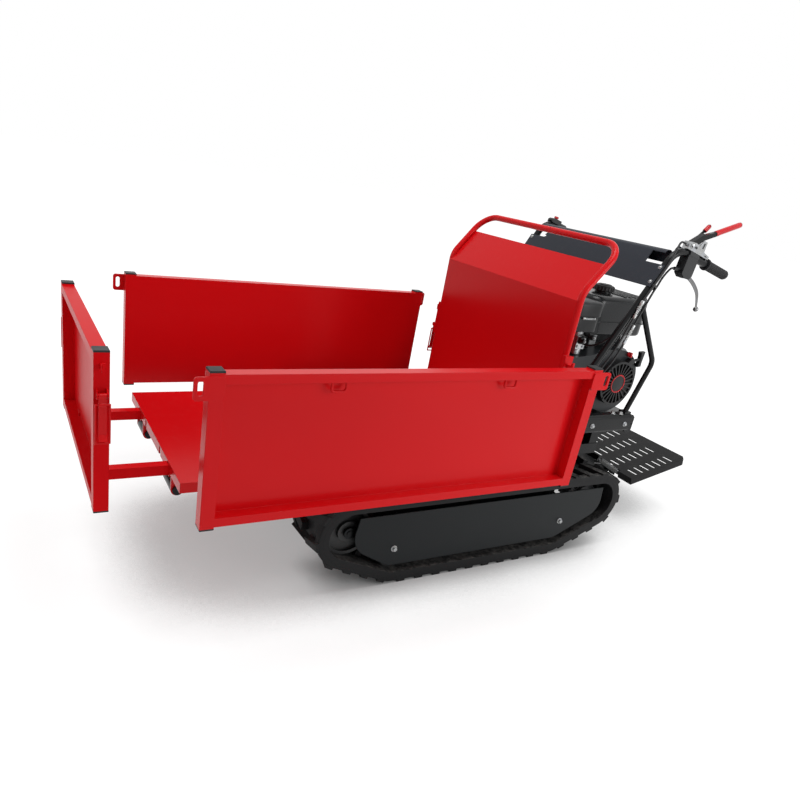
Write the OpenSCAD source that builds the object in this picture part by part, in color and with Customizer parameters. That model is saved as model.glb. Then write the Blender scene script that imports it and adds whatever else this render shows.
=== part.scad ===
// Tracked power carrier with an extendable tipping bed, modelled as its separate pieces.
// Frame: X forward, Y to the left, Z up, millimetres. The origin is on the ground.

/* [Load bed] */
// Front edge of the bed, forward of the origin
bed_front = 866; // [840:1:890]
// Length of the bed up to the headboard
bed_l = 1030; // [1000:1:1060]
// Width of the bed
bed_w = 572; // [540:1:600]
// Height of the bed floor above the ground
bed_z = 358; // [352:1:370]
// Sheet thickness of the bed
bed_t = 3; // [2:0.5:4]
// Depth of the bed's turned-down edge
bed_edge = 25; // [22:1:30]
// Width of the square slide tubes
slide_w = 25; // [20:1:28]
// Wall of the sleeves that guide the slide tubes
sleeve_wall = 2.7; // [2:0.1:4]
// Clearance round a slide tube in its sleeve
slide_gap = 0.3; // [0.2:0.1:0.6]
// Distance of the front slide tubes from the middle
front_tube_y = 170; // [160:1:180]
// Length of the front slide tubes inside the bed, pulled out
front_tube_in = 256; // [200:1:280]
// Place of the forward pair of side slide tubes
side_tube_front = 400; // [370:1:420]
// Place of the rear pair of side slide tubes
side_tube_rear = -20; // [-60:1:60]
// Length of the side slide tubes inside the bed, pulled out
side_tube_in = 150; // [135:1:154]

/* [Panels] */
// Length of a side panel
panel_l = 1028; // [1000:1:1028]
// Height of a side panel
panel_h = 341.5; // [300:0.5:400]
// Height of a side panel's foot above the ground
panel_z = 332; // [325:1:340]
// Width of the square posts and depth of the rails
post_w = 30; // [26:1:34]
// Height of the panel rails
rail_h = 20; // [16:1:28]
// Distance of a rail from the end of its posts
rail_inset = 7; // [5:0.5:12]
// Thickness of the panel sheets
panel_t = 2; // [1.5:0.5:3]
// Thickness of the plastic post caps
cap_t = 4; // [3:0.5:6]
// How far the side panels stand out, pulled out
side_out = 131; // [100:1:145]
// Gap between a closed panel and the bed
panel_gap = 2; // [1.5:0.5:4]
// Width of the front panel
front_w = 614; // [600:1:616]
// Height of the front panel
front_h = 350; // [320:1:380]
// Height of the front panel's foot above the ground
front_z = 317; // [310:1:322]
// How far the front panel stands out, pulled out
front_out = 149; // [120:1:160]

/* [Panel latches] */
// Thickness of the eye plates on the side panels
eye_t = 4; // [3:0.5:5]
// Reach of the eye plates past the end posts
eye_reach = 30; // [29:1:34]
// Height of the eye plates
eye_h = 47; // [44:1:50]
// Width of the slot in an eye plate
eye_slot_w = 11; // [10:0.5:14]
// Height of the slot in an eye plate
eye_slot_h = 30; // [28:1:34]
// Height of the latch hooks above the ground
hook_z = 641; // [639:0.5:643]
// Width of a latch hook
hook_w = 7; // [5:0.5:7.5]
// Height of the latch lever pivot above the ground
latch_z = 580; // [572:1:586]
// Distance of the latch pivot from its post
latch_off = 12; // [11:0.5:14]
// Length of a latch lever below its pivot
latch_l = 92; // [80:1:100]
// Width of a latch lever
latch_w = 18; // [14:1:20]
// Radius of a latch pivot pin
latch_pin_r = 3; // [2.5:0.25:3.5]
// Distance of the wire bail's pivot below the lever pivot
bail_drop = 17; // [15:1:22]
// Length of the wire bail
bail_l = 81; // [70:1:84]
// Radius of the bail wire
bail_r = 2; // [1.5:0.25:2.5]

/* [Headboard] */
// Height of the crease in the headboard above the ground
crease_z = 814; // [780:1:840]
// Backward lean of the headboard above the crease, in degrees
lean = 39; // [30:1:45]
// Length of sheet above the crease
lean_l = 127; // [100:1:145]
// Width of the headboard sheet
head_w = 600; // [596:1:604]
// Radius of the hoop tube
hoop_r = 9.5; // [8:0.5:11]
// Height of the bend in the hoop's legs above the ground
hoop_z = 835; // [815:1:850]
// Length of the hoop above that bend, to the top bar
hoop_l = 169; // [160:1:190]
// Bend radius of the hoop
hoop_bend = 62; // [50:1:70]

/* [Tracks] */
// Distance of a track's middle from the machine's middle
track_y = 225; // [220:1:235]
// Width of a track
track_w = 180; // [160:1:190]
// Thickness of the track's rubber band
band_t = 16; // [12:1:18]
// Height of the tread lugs
lug_h = 19; // [15:1:22]
// Number of links in a track
link_n = 38; // [36:1:42]
// Height of the guide horns on the inside of the band
horn_h = 15; // [12:1:16]
// Radius of the front idler and of the rear sprocket
wheel_r = 69; // [66:1:71]
// Place of the idler axle
idler_x = 417; // [405:1:430]
// Place of the sprocket axle
sprocket_x = -484; // [-495:1:-470]
// Height of the idler and sprocket axles above the ground
axle_z = 170; // [166:1:172]
// Radius of the bottom rollers
roller_r = 30; // [26:1:34]
// Place of the foremost bottom roller
roller_front = 270; // [260:1:285]
// Place of the rearmost bottom roller
roller_rear = -330; // [-345:1:-320]
// Clearance between a wheel and the band
wheel_gap = 0.4; // [0.3:0.1:1]
// Number of sprocket teeth
tooth_n = 8; // [6:1:9]

/* [Chassis] */
// Distance of the chassis rails from the middle
rail_y = 163; // [158:1:168]
// Width of the chassis rails
rail_w = 40; // [34:1:44]
// Underside of the chassis rails above the ground
rail_z0 = 282; // [279:1:286]
// Top of the chassis rails above the ground
rail_z1 = 318; // [312:1:319]
// Place of the tipping hinge
hinge_x = 850; // [846:1:852]
// Height of the tipping hinge above the ground
hinge_z = 298; // [296:1:300]
// Radius of the tipping hinge pins
hinge_pin_r = 8; // [7:0.5:9]
// Outer radius of the tipping hinge knuckles
knuckle_r = 15; // [13:0.5:16]
// Radial running clearance of pins and shafts
run_fit = 0.05; // [0.03:0.01:0.08]
// Height of the engine deck above the ground
deck_z = 421; // [415:1:430]

/* [Engine] */
// Place of the crankshaft
crank_x = -565; // [-575:1:-555]
// Height of the crankshaft above the ground
crank_z = 533; // [530:1:540]
// Left face of the recoil starter, from the middle
recoil_y = 190; // [186:1:196]
// Radius of the recoil starter cover
recoil_r = 74; // [70:1:76]
// Number of vanes round the recoil cover
vane_n = 24; // [16:2:30]
// Length of the fuel tank
tank_l = 270; // [240:1:280]
// Width of the fuel tank
tank_w = 205; // [180:1:215]
// Underside of the fuel tank above the ground
tank_z = 678; // [674:1:690]
// Height of the fuel tank
tank_h = 122; // [105:1:130]
// Radius of the fuel cap
cap_r = 33; // [28:1:36]

/* [Handlebar and controls] */
// Distance of the handle tubes from the middle
handle_y = 275; // [272:1:278]
// Radius of the handle tubes
handle_r = 11; // [10:0.5:12.5]
// Radius of the rubber grips
grip_r = 14.5; // [13:0.5:17]
// Length of the rubber grips
grip_l = 114; // [100:1:120]
// Radius of the braces
brace_r = 8; // [7:0.5:10]
// Thickness of the cross panel
cross_t = 2; // [1.5:0.5:3]
// Radius of the control cables
cable_r = 3; // [2.5:0.25:3.5]

/* [Footplate] */
// Place of the footplate hinge
foot_x = -778; // [-790:1:-770]
// Height of the footplate hinge above the ground
foot_z = 162; // [158:1:170]
// Length of the footplate behind its hinge
foot_l = 292; // [260:1:300]
// Width of the footplate
foot_w = 400; // [380:1:410]
// Sheet thickness of the footplate
foot_t = 3; // [2:0.5:4]
// Depth of the footplate's turned-down edge
foot_edge = 26; // [20:1:30]
// Upward tilt of the footplate at rest, in degrees
foot_tilt = 12.5; // [0:0.5:20]
// Radius of the footplate hinge studs
foot_pin_r = 6; // [5:0.5:7]
// Number of slots in a row
slot_n = 7; // [5:1:8]
// Number of rows of slots
slot_rows = 5; // [3:1:5]
// Length of a slot
slot_l = 44; // [36:1:60]
// Width of a slot
slot_w = 8; // [6:0.5:10]
// Coil radius of the footplate spring
spring_r = 8; // [7:0.5:10]
// Wire radius of the footplate spring
wire_r = 1.4; // [1.2:0.1:1.6]
// Number of curls in the footplate spring
curl_n = 24; // [16:1:28]

/* [Hidden] */
$fn = 48;
red = "#c4161c";
black = "#24272b";
rubber = "#17181a";
zinc = "#c6cacd";
chrome = "#d8dadc";

bed_rear = bed_front - bed_l;
sleeve_w = slide_w + 2 * slide_gap + 2 * sleeve_wall;
bore_w = slide_w + 2 * slide_gap;
slide_z = bed_z - bed_t - sleeve_w / 2;
side_tube_xs = [side_tube_front, side_tube_rear];
panel_rear = bed_front - panel_l;
side_in_y = bed_w / 2 + panel_gap + side_out;
side_out_y = side_in_y + post_w;
closed_eye_y = side_out_y - side_out;
front_back = bed_front + panel_gap + front_out;
front_tube_end = bed_front - front_tube_in;
front_bore_end = front_tube_end - front_out - 6;
latch_x = post_w / 2 + panel_gap;
head_x = bed_rear;
leg_x = head_x - hoop_r - 0.5;
leg_y = head_w / 2 + 1;
stub_x = panel_rear - latch_x;
stub_y = 314;

// Box between two corners.
module block(x, y, z) {
  translate([x[0], y[0], z[0]]) cube([x[1] - x[0], y[1] - y[0], z[1] - z[0]]);
}

// Profile drawn in X and Z, extruded from y[0] to y[1].
module across(y) {
  translate([0, y[1], 0]) rotate([90, 0, 0]) linear_extrude(y[1] - y[0]) children();
}

// Profile drawn in Y and Z, extruded from x[0] to x[1].
module along(x) {
  translate([x[0], 0, 0]) rotate([90, 0, 90]) linear_extrude(x[1] - x[0]) children();
}

// Profile drawn in X and Y, extruded from z[0] to z[1].
module upright(z) {
  translate([0, 0, z[0]]) linear_extrude(z[1] - z[0]) children();
}

module rod_x(x, y, z, r) { translate([x[0], y, z]) rotate([0, 90, 0]) cylinder(h = x[1] - x[0], r = r); }
module rod_y(x, y, z, r) { translate([x, y[1], z]) rotate([90, 0, 0]) cylinder(h = y[1] - y[0], r = r); }
module rod_z(x, y, z, r) { translate([x, y, z[0]]) cylinder(h = z[1] - z[0], r = r); }

// Rectangle with rounded corners, between two corner points.
module rounded(a, b, r) {
  translate([a[0] + r, a[1]]) square([b[0] - a[0] - 2 * r, b[1] - a[1]]);
  translate([a[0], a[1] + r]) square([b[0] - a[0], b[1] - a[1] - 2 * r]);
  for (x = [a[0] + r, b[0] - r], y = [a[1] + r, b[1] - r]) translate([x, y]) circle(r);
}

// Slot with round ends, centred, along the second axis.
module slot(l, w) {
  square([w, l - w], center = true);
  for (s = [-1, 1]) translate([0, s * (l - w) / 2]) circle(w / 2);
}

module mirrored(side) {
  if (side > 0) children();
  else mirror([0, 1, 0]) children();
}

module both_sides() {
  for (side = [1, -1]) mirrored(side) children();
}

function unit(v) = v / norm(v);

// Straight round bar between two points.
module bar(a, b, r) {
  d = b - a;
  translate(a)
    rotate([0, acos(d[2] / norm(d)), atan2(d[1], d[0])])
      cylinder(h = norm(d), r = r);
}

// Round tube along points, with true bends of one radius at the inner points.
// The straight lengths are thinner by a hair and run a little way into the bends, so that all fuse cleanly.
module bent_tube(pts, r, bend) {
  hair = 0.1;
  lap = 1;
  n = len(pts);
  dirs = [for (i = [0:n - 2]) unit(pts[i + 1] - pts[i])];
  turn = [for (i = [1:n - 2]) acos(dirs[i - 1] * dirs[i])];
  trim = [for (a = turn) bend * tan(a / 2)];
  for (i = [0:n - 2]) {
    cut_a = i == 0 ? 0 : trim[i - 1] - lap;
    cut_b = i == n - 2 ? 0 : trim[i] - lap;
    bar(pts[i] + cut_a * dirs[i], pts[i + 1] - cut_b * dirs[i], r - hair);
  }
  for (i = [1:n - 2]) {
    t = dirs[i - 1];
    z = unit(cross(t, dirs[i]));
    x = cross(t, z);
    c = pts[i] - trim[i - 1] * t - bend * x;
    multmatrix([[x[0], t[0], z[0], c[0]], [x[1], t[1], z[1], c[1]], [x[2], t[2], z[2], c[2]], [0, 0, 0, 1]])
      rotate_extrude(angle = turn[i - 1]) translate([bend, 0]) circle(r);
  }
}

// Tube swept along points as one closed skin of triangles, with one radius or a radius at each point.
module swept(pts, r, sides) {
  n = len(pts);
  radius = is_list(r) ? r : [for (p = pts) r];
  tangent = [for (i = [0:n - 1]) unit(pts[min(i + 1, n - 1)] - pts[max(i - 1, 0)])];
  ring = [for (i = [0:n - 1])
    let (u = unit(cross(tangent[i], [0.13, 1, 0.07])), v = cross(tangent[i], u))
    for (k = [0:sides - 1]) pts[i] + radius[i] * (cos(360 * k / sides) * u + sin(360 * k / sides) * v)];
  walls = [for (i = [0:n - 2], k = [0:sides - 1])
    let (a = i * sides + k, b = i * sides + (k + 1) % sides)
    each [[a, b, a + sides], [b, b + sides, a + sides]]];
  ends = [for (k = [1:sides - 2]) each [[0, k + 1, k], [(n - 1) * sides, (n - 1) * sides + k, (n - 1) * sides + k + 1]]];
  polyhedron(ring, concat(walls, ends));
}

// LOAD BED

module slide_bores() {
  both_sides()
    block([front_bore_end, bed_front + 1], [front_tube_y - bore_w / 2, front_tube_y + bore_w / 2],
          [slide_z - bore_w / 2, slide_z + bore_w / 2]);
  for (x = side_tube_xs)
    block([x - bore_w / 2, x + bore_w / 2], [-bed_w / 2 - 1, bed_w / 2 + 1],
          [slide_z - bore_w / 2, slide_z + bore_w / 2]);
}

knuckle_l = 70;
ear_t = 6;
ear_gap = 0.5;

module hinge_ear() {
  y = rail_y + knuckle_l / 2 + ear_gap;
  both_sides() for (y0 = [y, 2 * rail_y - y - ear_t])
    difference() {
      union() {
        rod_y(hinge_x, [y0, y0 + ear_t], hinge_z, knuckle_r);
        block([hinge_x - knuckle_r, hinge_x + knuckle_r], [y0, y0 + ear_t], [hinge_z, bed_z - bed_t / 2]);
      }
      rod_y(hinge_x, [y0 - 1, y0 + ear_t + 1], hinge_z, hinge_pin_r + run_fit);
    }
}

module load_bed() {
  relief_y = 84;
  relief_w = 14;
  edge_z = bed_z - bed_edge;
  color(red) {
    difference() {
      union() {
        block([bed_rear, bed_front], [-bed_w / 2, bed_w / 2], [bed_z - bed_t, bed_z]);
        for (x = [bed_rear, bed_front - bed_t])
          block([x, x + bed_t], [-bed_w / 2, bed_w / 2], [edge_z, bed_z]);
        both_sides() block([bed_rear, bed_front], [bed_w / 2 - bed_t, bed_w / 2], [edge_z, bed_z]);
        both_sides()
          block([bed_rear, bed_front], [front_tube_y - sleeve_w / 2, front_tube_y + sleeve_w / 2],
                [bed_z - bed_t - sleeve_w, bed_z - bed_t]);
        for (x = side_tube_xs)
          block([x - sleeve_w / 2, x + sleeve_w / 2], [-bed_w / 2, bed_w / 2],
                [bed_z - bed_t - sleeve_w, bed_z - bed_t]);
      }
      slide_bores();
      both_sides()
        block([bed_front - bed_t - 1, bed_front + 1], [relief_y - relief_w / 2, relief_y + relief_w / 2],
              [edge_z - 1, bed_z - bed_t]);
    }
    hinge_ear();
  }
}

// HEADBOARD

lean_dir = [-sin(lean), 0, cos(lean)];

// The latch's fixed half: hook and pivot bracket, on a post face at y = 0 that looks along +Y.
// The face lies at the distance base from the middle of the machine.
module latch_fixed(base) {
  ear = 2.5;
  ear_in = latch_w / 2 - 0.6;
  hook_out = closed_eye_y - base + eye_t + 13;
  along([-hook_w / 2, hook_w / 2])
    polygon([[-1, hook_z - 9], [hook_out, hook_z - 9], [hook_out, hook_z + 9], [hook_out - 5, hook_z + 9],
             [hook_out - 7, hook_z], [-1, hook_z]]);
  for (s = [-1, 1])
    difference() {
      along(s > 0 ? [ear_in, ear_in + ear] : [-ear_in - ear, -ear_in])
        union() {
          polygon([[-1, latch_z - 8], [latch_off, latch_z - 7], [latch_off, latch_z + 7], [-1, latch_z + 12]]);
          translate([latch_off, latch_z]) circle(7);
        }
      rod_x([-30, 30], latch_off, latch_z, latch_pin_r);
    }
  rod_x([-ear_in - ear - 1, ear_in + ear + 1], latch_off, latch_z, latch_pin_r);
}

module headboard() {
  crease_in = tan(lean / 2);
  v1 = [leg_x, 0, hoop_z];
  v2 = v1 + hoop_l * lean_dir;
  side = [0, leg_y, 0];
  foot = [leg_x, 0, bed_z - bed_t - 6];
  t = bed_t;
  top = [head_x, 0, crease_z] + lean_l * lean_dir;
  stub_top = hook_z + 22;
  stub_low = latch_z - 26;
  color(red) {
    across([-head_w / 2, head_w / 2])
      polygon([[head_x, crease_z], [top[0], top[2]],
               [top[0] - t * cos(lean), top[2] - t * sin(lean)], [head_x - t, crease_z - t * crease_in],
               [head_x - t, bed_z - bed_edge], [head_x, bed_z - bed_edge]]);
    bent_tube([foot - side, v1 - side, v2 - side, v2 + side, v1 + side, foot + side], hoop_r, hoop_bend);
    both_sides() {
      difference() {
        block([min(stub_x - post_w / 2, leg_x - 4), max(stub_x + post_w / 2, leg_x + 4)], [leg_y, stub_y], [stub_low, stub_top]);
        block([stub_x - post_w / 2 - 1, stub_x - post_w / 2 + 7], [leg_y - 1, stub_y - 3], [stub_low - 1, stub_top + 1]);
      }
      translate([stub_x, stub_y, 0]) latch_fixed(stub_y);
    }
  }
}

// SIDE PANELS

module lashing_eye(x, y, z) {
  w = 34;
  drop = 24;
  bent_tube([[x - w / 2, y, z + 2], [x - w / 2, y, z - drop], [x + w / 2, y, z - drop], [x + w / 2, y, z + 2]], 3, 7);
}

module side_panel(side) {
  z0 = panel_z + cap_t;
  z1 = panel_z + panel_h - cap_t;
  top_rail = panel_z + panel_h - rail_inset - rail_h;
  low_rail = panel_z + rail_inset;
  eye_z = panel_z + panel_h - cap_t - 6 - eye_h;
  slot_z = hook_z;
  mid_y = side_in_y + post_w / 2;
  color(red) mirrored(side) {
    for (x = [panel_rear, bed_front - post_w])
      block([x, x + post_w], [side_in_y, side_out_y], [z0, z1]);
    for (z = [low_rail, top_rail])
      block([panel_rear + post_w, bed_front - post_w], [side_in_y, side_out_y], [z, z + rail_h]);
    block([panel_rear + post_w, bed_front - post_w], [side_in_y, side_in_y + panel_t],
          [low_rail + rail_h, top_rail]);
    for (e = [[panel_rear - eye_reach, panel_rear + post_w, panel_rear - latch_x],
              [bed_front - post_w, bed_front + eye_reach, bed_front + latch_x]])
      across([side_out_y, side_out_y + eye_t])
        difference() {
          rounded([e[0], eye_z], [e[1], eye_z + eye_h], 7);
          translate([e[2], slot_z]) slot(eye_slot_h, eye_slot_w);
        }
    for (x = side_tube_xs)
      block([x - slide_w / 2, x + slide_w / 2], [bed_w / 2 - side_tube_in, side_in_y + 5],
            [slide_z - slide_w / 2, slide_z + slide_w / 2]);
    for (x = [bed_front - 0.27 * panel_l, bed_front - 0.72 * panel_l])
      lashing_eye(x, mid_y, top_rail);
  }
}

module post_cap(x, y, z, up) {
  inset = 0.6;
  block([x[0], x[1]], [y[0], y[1]], up ? [z, z + cap_t - 1] : [z - cap_t + 1, z]);
  block([x[0] + inset, x[1] - inset], [y[0] + inset, y[1] - inset],
        up ? [z + cap_t - 1, z + cap_t] : [z - cap_t, z - cap_t + 1]);
}

module side_caps(side) {
  color(black) mirrored(side)
    for (x = [panel_rear, bed_front - post_w]) {
      post_cap([x, x + post_w], [side_in_y, side_out_y], panel_z + cap_t, false);
      post_cap([x, x + post_w], [side_in_y, side_out_y], panel_z + panel_h - cap_t, true);
    }
}

module left_side_panel() { side_panel(1); }
module right_side_panel() { side_panel(-1); }
module left_panel_caps() { side_caps(1); }
module right_panel_caps() { side_caps(-1); }

// FRONT PANEL

module front_panel() {
  z0 = front_z + cap_t;
  z1 = front_z + front_h - cap_t;
  top_rail = front_z + front_h - rail_inset - rail_h;
  low_rail = front_z + rail_inset;
  x = [front_back, front_back + post_w];
  half = front_w / 2;
  color(red) {
    both_sides() {
      block(x, [half - post_w, half], [z0, z1]);
      block([front_tube_end, front_back + 5], [front_tube_y - slide_w / 2, front_tube_y + slide_w / 2],
            [slide_z - slide_w / 2, slide_z + slide_w / 2]);
      translate([front_back + post_w / 2, half, 0]) latch_fixed(half);
    }
    for (z = [low_rail, top_rail])
      block(x, [post_w - half, half - post_w], [z, z + rail_h]);
    block([front_back, front_back + panel_t], [post_w - half, half - post_w], [low_rail + rail_h, top_rail]);
  }
}

module front_panel_caps() {
  color(black) both_sides() {
    y = [front_w / 2 - post_w, front_w / 2];
    post_cap([front_back, front_back + post_w], y, front_z + cap_t, false);
    post_cap([front_back, front_back + post_w], y, front_z + front_h - cap_t, true);
  }
}

// LATCHES

// Lever hanging down from its pivot, on a post face at y = 0 that looks along +Y.
module latch_lever() {
  half = latch_w / 2 - 1;
  strip = 3;
  lip = latch_off + 2.4;
  color(red) difference() {
    along([-half, half]) union() {
      translate([latch_off, latch_z]) circle(latch_pin_r + 2.6);
      translate([lip, latch_z - bail_drop]) circle(bail_r + 2);
      polygon([[latch_off + 1, latch_z], [latch_off + 1, latch_z - latch_l + 10],
               [latch_off + 9, latch_z - latch_l], [latch_off + 9 + strip, latch_z - latch_l + 1],
               [latch_off + 1 + strip, latch_z - latch_l + 13], [latch_off + 1 + strip, latch_z]]);
    }
    rod_x([-half - 1, half + 1], latch_off, latch_z, latch_pin_r + run_fit);
    rod_x([-half - 1, half + 1], lip, latch_z - bail_drop, bail_r + run_fit);
  }
}

// Wire loop hanging from the lever.
module latch_bail() {
  w = latch_w / 2 + 2.4 + bail_r;
  y = latch_off + 2.4;
  z = latch_z - bail_drop;
  color(red) {
    rod_x([-w, w], y, z, bail_r);
    rod_x([-w, w], y, z - bail_l, bail_r);
    for (s = [-1, 1]) {
      rod_z(s * w, y, [z - bail_l, z], bail_r);
      for (e = [0, bail_l]) translate([s * w, y, z - e]) sphere(bail_r);
    }
  }
}

module at_front(side) { mirrored(side) translate([front_back + post_w / 2, front_w / 2, 0]) children(); }
module at_rear(side) { mirrored(side) translate([stub_x, stub_y, 0]) children(); }

module front_left_latch_lever() { at_front(1) latch_lever(); }
module front_right_latch_lever() { at_front(-1) latch_lever(); }
module rear_left_latch_lever() { at_rear(1) latch_lever(); }
module rear_right_latch_lever() { at_rear(-1) latch_lever(); }
module front_left_latch_bail() { at_front(1) latch_bail(); }
module front_right_latch_bail() { at_front(-1) latch_bail(); }
module rear_left_latch_bail() { at_rear(1) latch_bail(); }
module rear_right_latch_bail() { at_rear(-1) latch_bail(); }

// TRACKS

// The band runs round four circles, given anticlockwise as seen from the right: place, height, radius.
band_z = lug_h + band_t;
wheels = [[idler_x, axle_z, wheel_r], [sprocket_x, axle_z, wheel_r],
          [roller_rear, band_z + roller_r, roller_r], [roller_front, band_z + roller_r, roller_r]];
wheel_n = len(wheels);

function wheel(i) = wheels[(i + wheel_n) % wheel_n];
function centre(i) = [wheel(i)[0], wheel(i)[1]];

// Direction, as an angle, in which the straight run after wheel i faces outwards.
function run_angle(i) =
  let (d = centre(i + 1) - centre(i), a = atan2(d[1], d[0]) - acos((wheel(i)[2] - wheel(i + 1)[2]) / norm(d)))
  a < 0 ? a + 360 : a;
function arc_angle(i) = let (a = run_angle(i) - run_angle(i - 1)) a < 0 ? a + 360 : a;
function run_length(i) = let (d = centre(i + 1) - centre(i)) sqrt(d * d - pow(wheel(i)[2] - wheel(i + 1)[2], 2));
function rim(i, a, off) = centre(i) + (wheel(i)[2] + off) * [cos(a), sin(a)];

pitch_off = band_t / 2;
arc_len = [for (i = [0:wheel_n - 1]) (wheel(i)[2] + pitch_off) * arc_angle(i) * PI / 180];
run_len = [for (i = [0:wheel_n - 1]) run_length(i)];
function length_to(i) = i == 0 ? 0 : length_to(i - 1) + arc_len[i - 1] + run_len[i - 1];
loop_len = length_to(wheel_n);

// Place and outward angle at a distance round the loop, off the wheels by off.
function on_loop(s, off) =
  let (i = max([for (k = [0:wheel_n - 1]) if (length_to(k) <= s) k]), d = s - length_to(i))
  d < arc_len[i]
    ? let (a = run_angle(i - 1) + arc_angle(i) * d / arc_len[i]) [rim(i, a, off), a]
    : let (a = run_angle(i), f = (d - arc_len[i]) / run_len[i])
      [rim(i, a, off) * (1 - f) + rim(i + 1, a, off) * f, a];

// Area inside the band, grown by off. The straight runs lie a hair inside, so that they cross the circles cleanly.
module loop_area(off) {
  hair = 0.05;
  polygon([for (i = [0:wheel_n - 1]) each [rim(i, run_angle(i - 1), off - hair), rim(i, run_angle(i), off - hair)]]);
  for (i = [0:wheel_n - 1]) translate(centre(i)) circle(wheel(i)[2] + off, $fn = 96);
}

// Puts a piece on the band: its Z points outwards and its X runs along the band.
module on_band(s, off) {
  p = on_loop(s, off);
  translate([p[0][0], 0, p[0][1]]) rotate([0, 90 - p[1], 0]) children();
}

module track_belt(side) {
  sink = 3;
  lug_w = 26;
  lug_sweep = 24;
  lug_in = 6;
  lug_out = track_w / 2 - 0.6;
  horn_y = 30;
  horn_w = 12;
  horn_l = 22;
  step = loop_len / link_n;
  color(rubber) mirrored(side) translate([0, track_y, 0]) difference() {
    union() {
      across([-track_w / 2, track_w / 2]) difference() {
        loop_area(band_t);
        loop_area(0);
      }
      for (k = [0:link_n - 1], half = [1, -1])
        on_band((k + (half > 0 ? 0.1 : 0.55)) * step, band_t - sink)
          linear_extrude(lug_h + sink)
            polygon([[-lug_w / 2 - lug_sweep / 2, half * lug_out], [lug_w / 2 - lug_sweep / 2, half * lug_out],
                     [lug_w / 2 + lug_sweep / 2, half * lug_in], [lug_sweep / 2 - lug_w / 3, half * lug_in]]);
      for (k = [0:link_n - 1], s = [-1, 1])
        on_band((k + 0.5) * step, -horn_h)
          translate([-horn_l / 2, s * horn_y - horn_w / 2, 0]) cube([horn_l, horn_w, horn_h + sink]);
    }
    block([sprocket_x - 200, idler_x + 200], [-track_w, track_w], [-40, 0]);
  }
}

module left_track_belt() { track_belt(1); }
module right_track_belt() { track_belt(-1); }

axle_r = 8;
rim_in = 40;
rim_out = 60;
arm_in = 64;
arm_out = 70;

// Two rims that run outside the guide horns, on one hub.
module twin_wheel(x, z, r, hub_r, dish) {
  translate([x, track_y, z]) rotate([90, 0, 0]) difference() {
    union() {
      for (s = [-1, 1]) translate([0, 0, s * (rim_in + rim_out) / 2])
        cylinder(h = rim_out - rim_in, r = r, center = true, $fn = 96);
      cylinder(h = 2 * rim_out, r = hub_r, center = true);
    }
    cylinder(h = 3 * rim_out, r = axle_r + run_fit, center = true);
    if (dish > 0) for (s = [-1, 1]) translate([0, 0, s * rim_out]) difference() {
      cylinder(h = 2 * dish, r = r - 9, center = true);
      cylinder(h = 3 * dish, r = hub_r, center = true);
    }
  }
}

module idler(side) {
  color("#2f3338") mirrored(side) twin_wheel(idler_x, axle_z, wheel_r - wheel_gap, 30, 10);
}
module roller(side, x) {
  color("#2f3338") mirrored(side) twin_wheel(x, band_z + roller_r, roller_r - wheel_gap, 12, 0);
}

roller_xs = [roller_front, (roller_front + roller_rear) / 2, roller_rear];

module left_idler() { idler(1); }
module right_idler() { idler(-1); }
module left_roller_front() { roller(1, roller_xs[0]); }
module left_roller_middle() { roller(1, roller_xs[1]); }
module left_roller_rear() { roller(1, roller_xs[2]); }
module right_roller_front() { roller(-1, roller_xs[0]); }
module right_roller_middle() { roller(-1, roller_xs[1]); }
module right_roller_rear() { roller(-1, roller_xs[2]); }

shaft_r = 14;
axle_tube_y = 126;
shaft_in = 80;

module sprocket(side) {
  tip = wheel_r - wheel_gap;
  root = tip - 15;
  w = 36;
  color("#5c6166") mirrored(side) translate([sprocket_x, 0, axle_z]) rotate([-90, 0, 0]) {
    translate([0, 0, track_y - w / 2]) difference() {
      union() {
        cylinder(h = w, r = root);
        for (k = [0:tooth_n - 1]) rotate(360 * k / tooth_n)
          translate([0, 0, 0.5]) linear_extrude(w - 1) intersection() {
            polygon([[root - 5, -13], [root, -13], [tip + 2, -6], [tip + 2, 6], [root, 13], [root - 5, 13]]);
            circle(tip, $fn = 96);
          }
      }
      for (k = [0:4]) rotate(72 * k + 36) translate([39, 0, -1]) cylinder(h = w + 2, r = 8);
    }
    translate([0, 0, shaft_in]) cylinder(h = track_y + 34 - shaft_in, r = shaft_r);
    translate([0, 0, track_y - w / 2 - 10]) cylinder(h = w + 20, r = 26);
  }
}

module left_sprocket() { sprocket(1); }
module right_sprocket() { sprocket(-1); }

// One flange bolt pattern serves the whole machine: head up, shank down from z = 0.
bolt_r = 4;
bolt_l = 14;
bolt_gap = 0.1;

module bolt() {
  cylinder(h = 2, r = 9);
  cylinder(h = 8, r = 7, $fn = 6);
  translate([0, 0, -bolt_l]) cylinder(h = bolt_l + 1, r = bolt_r);
}

module bolt_hole() {
  translate([0, 0, -bolt_l - 1]) cylinder(h = bolt_l + 2, r = bolt_r + bolt_gap);
}

// Side plate over the rollers: straight top and bottom, round ends.
cover_y = track_y + track_w / 2 - 6;
cover_t = 4;
cover_bolts = [[roller_front + 7, 111], [roller_rear - 11, 117]];

module at_cover_bolts() {
  both_sides() for (p = cover_bolts) translate([p[0], cover_y, p[1]]) rotate([-90, 0, 0]) children();
}

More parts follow.
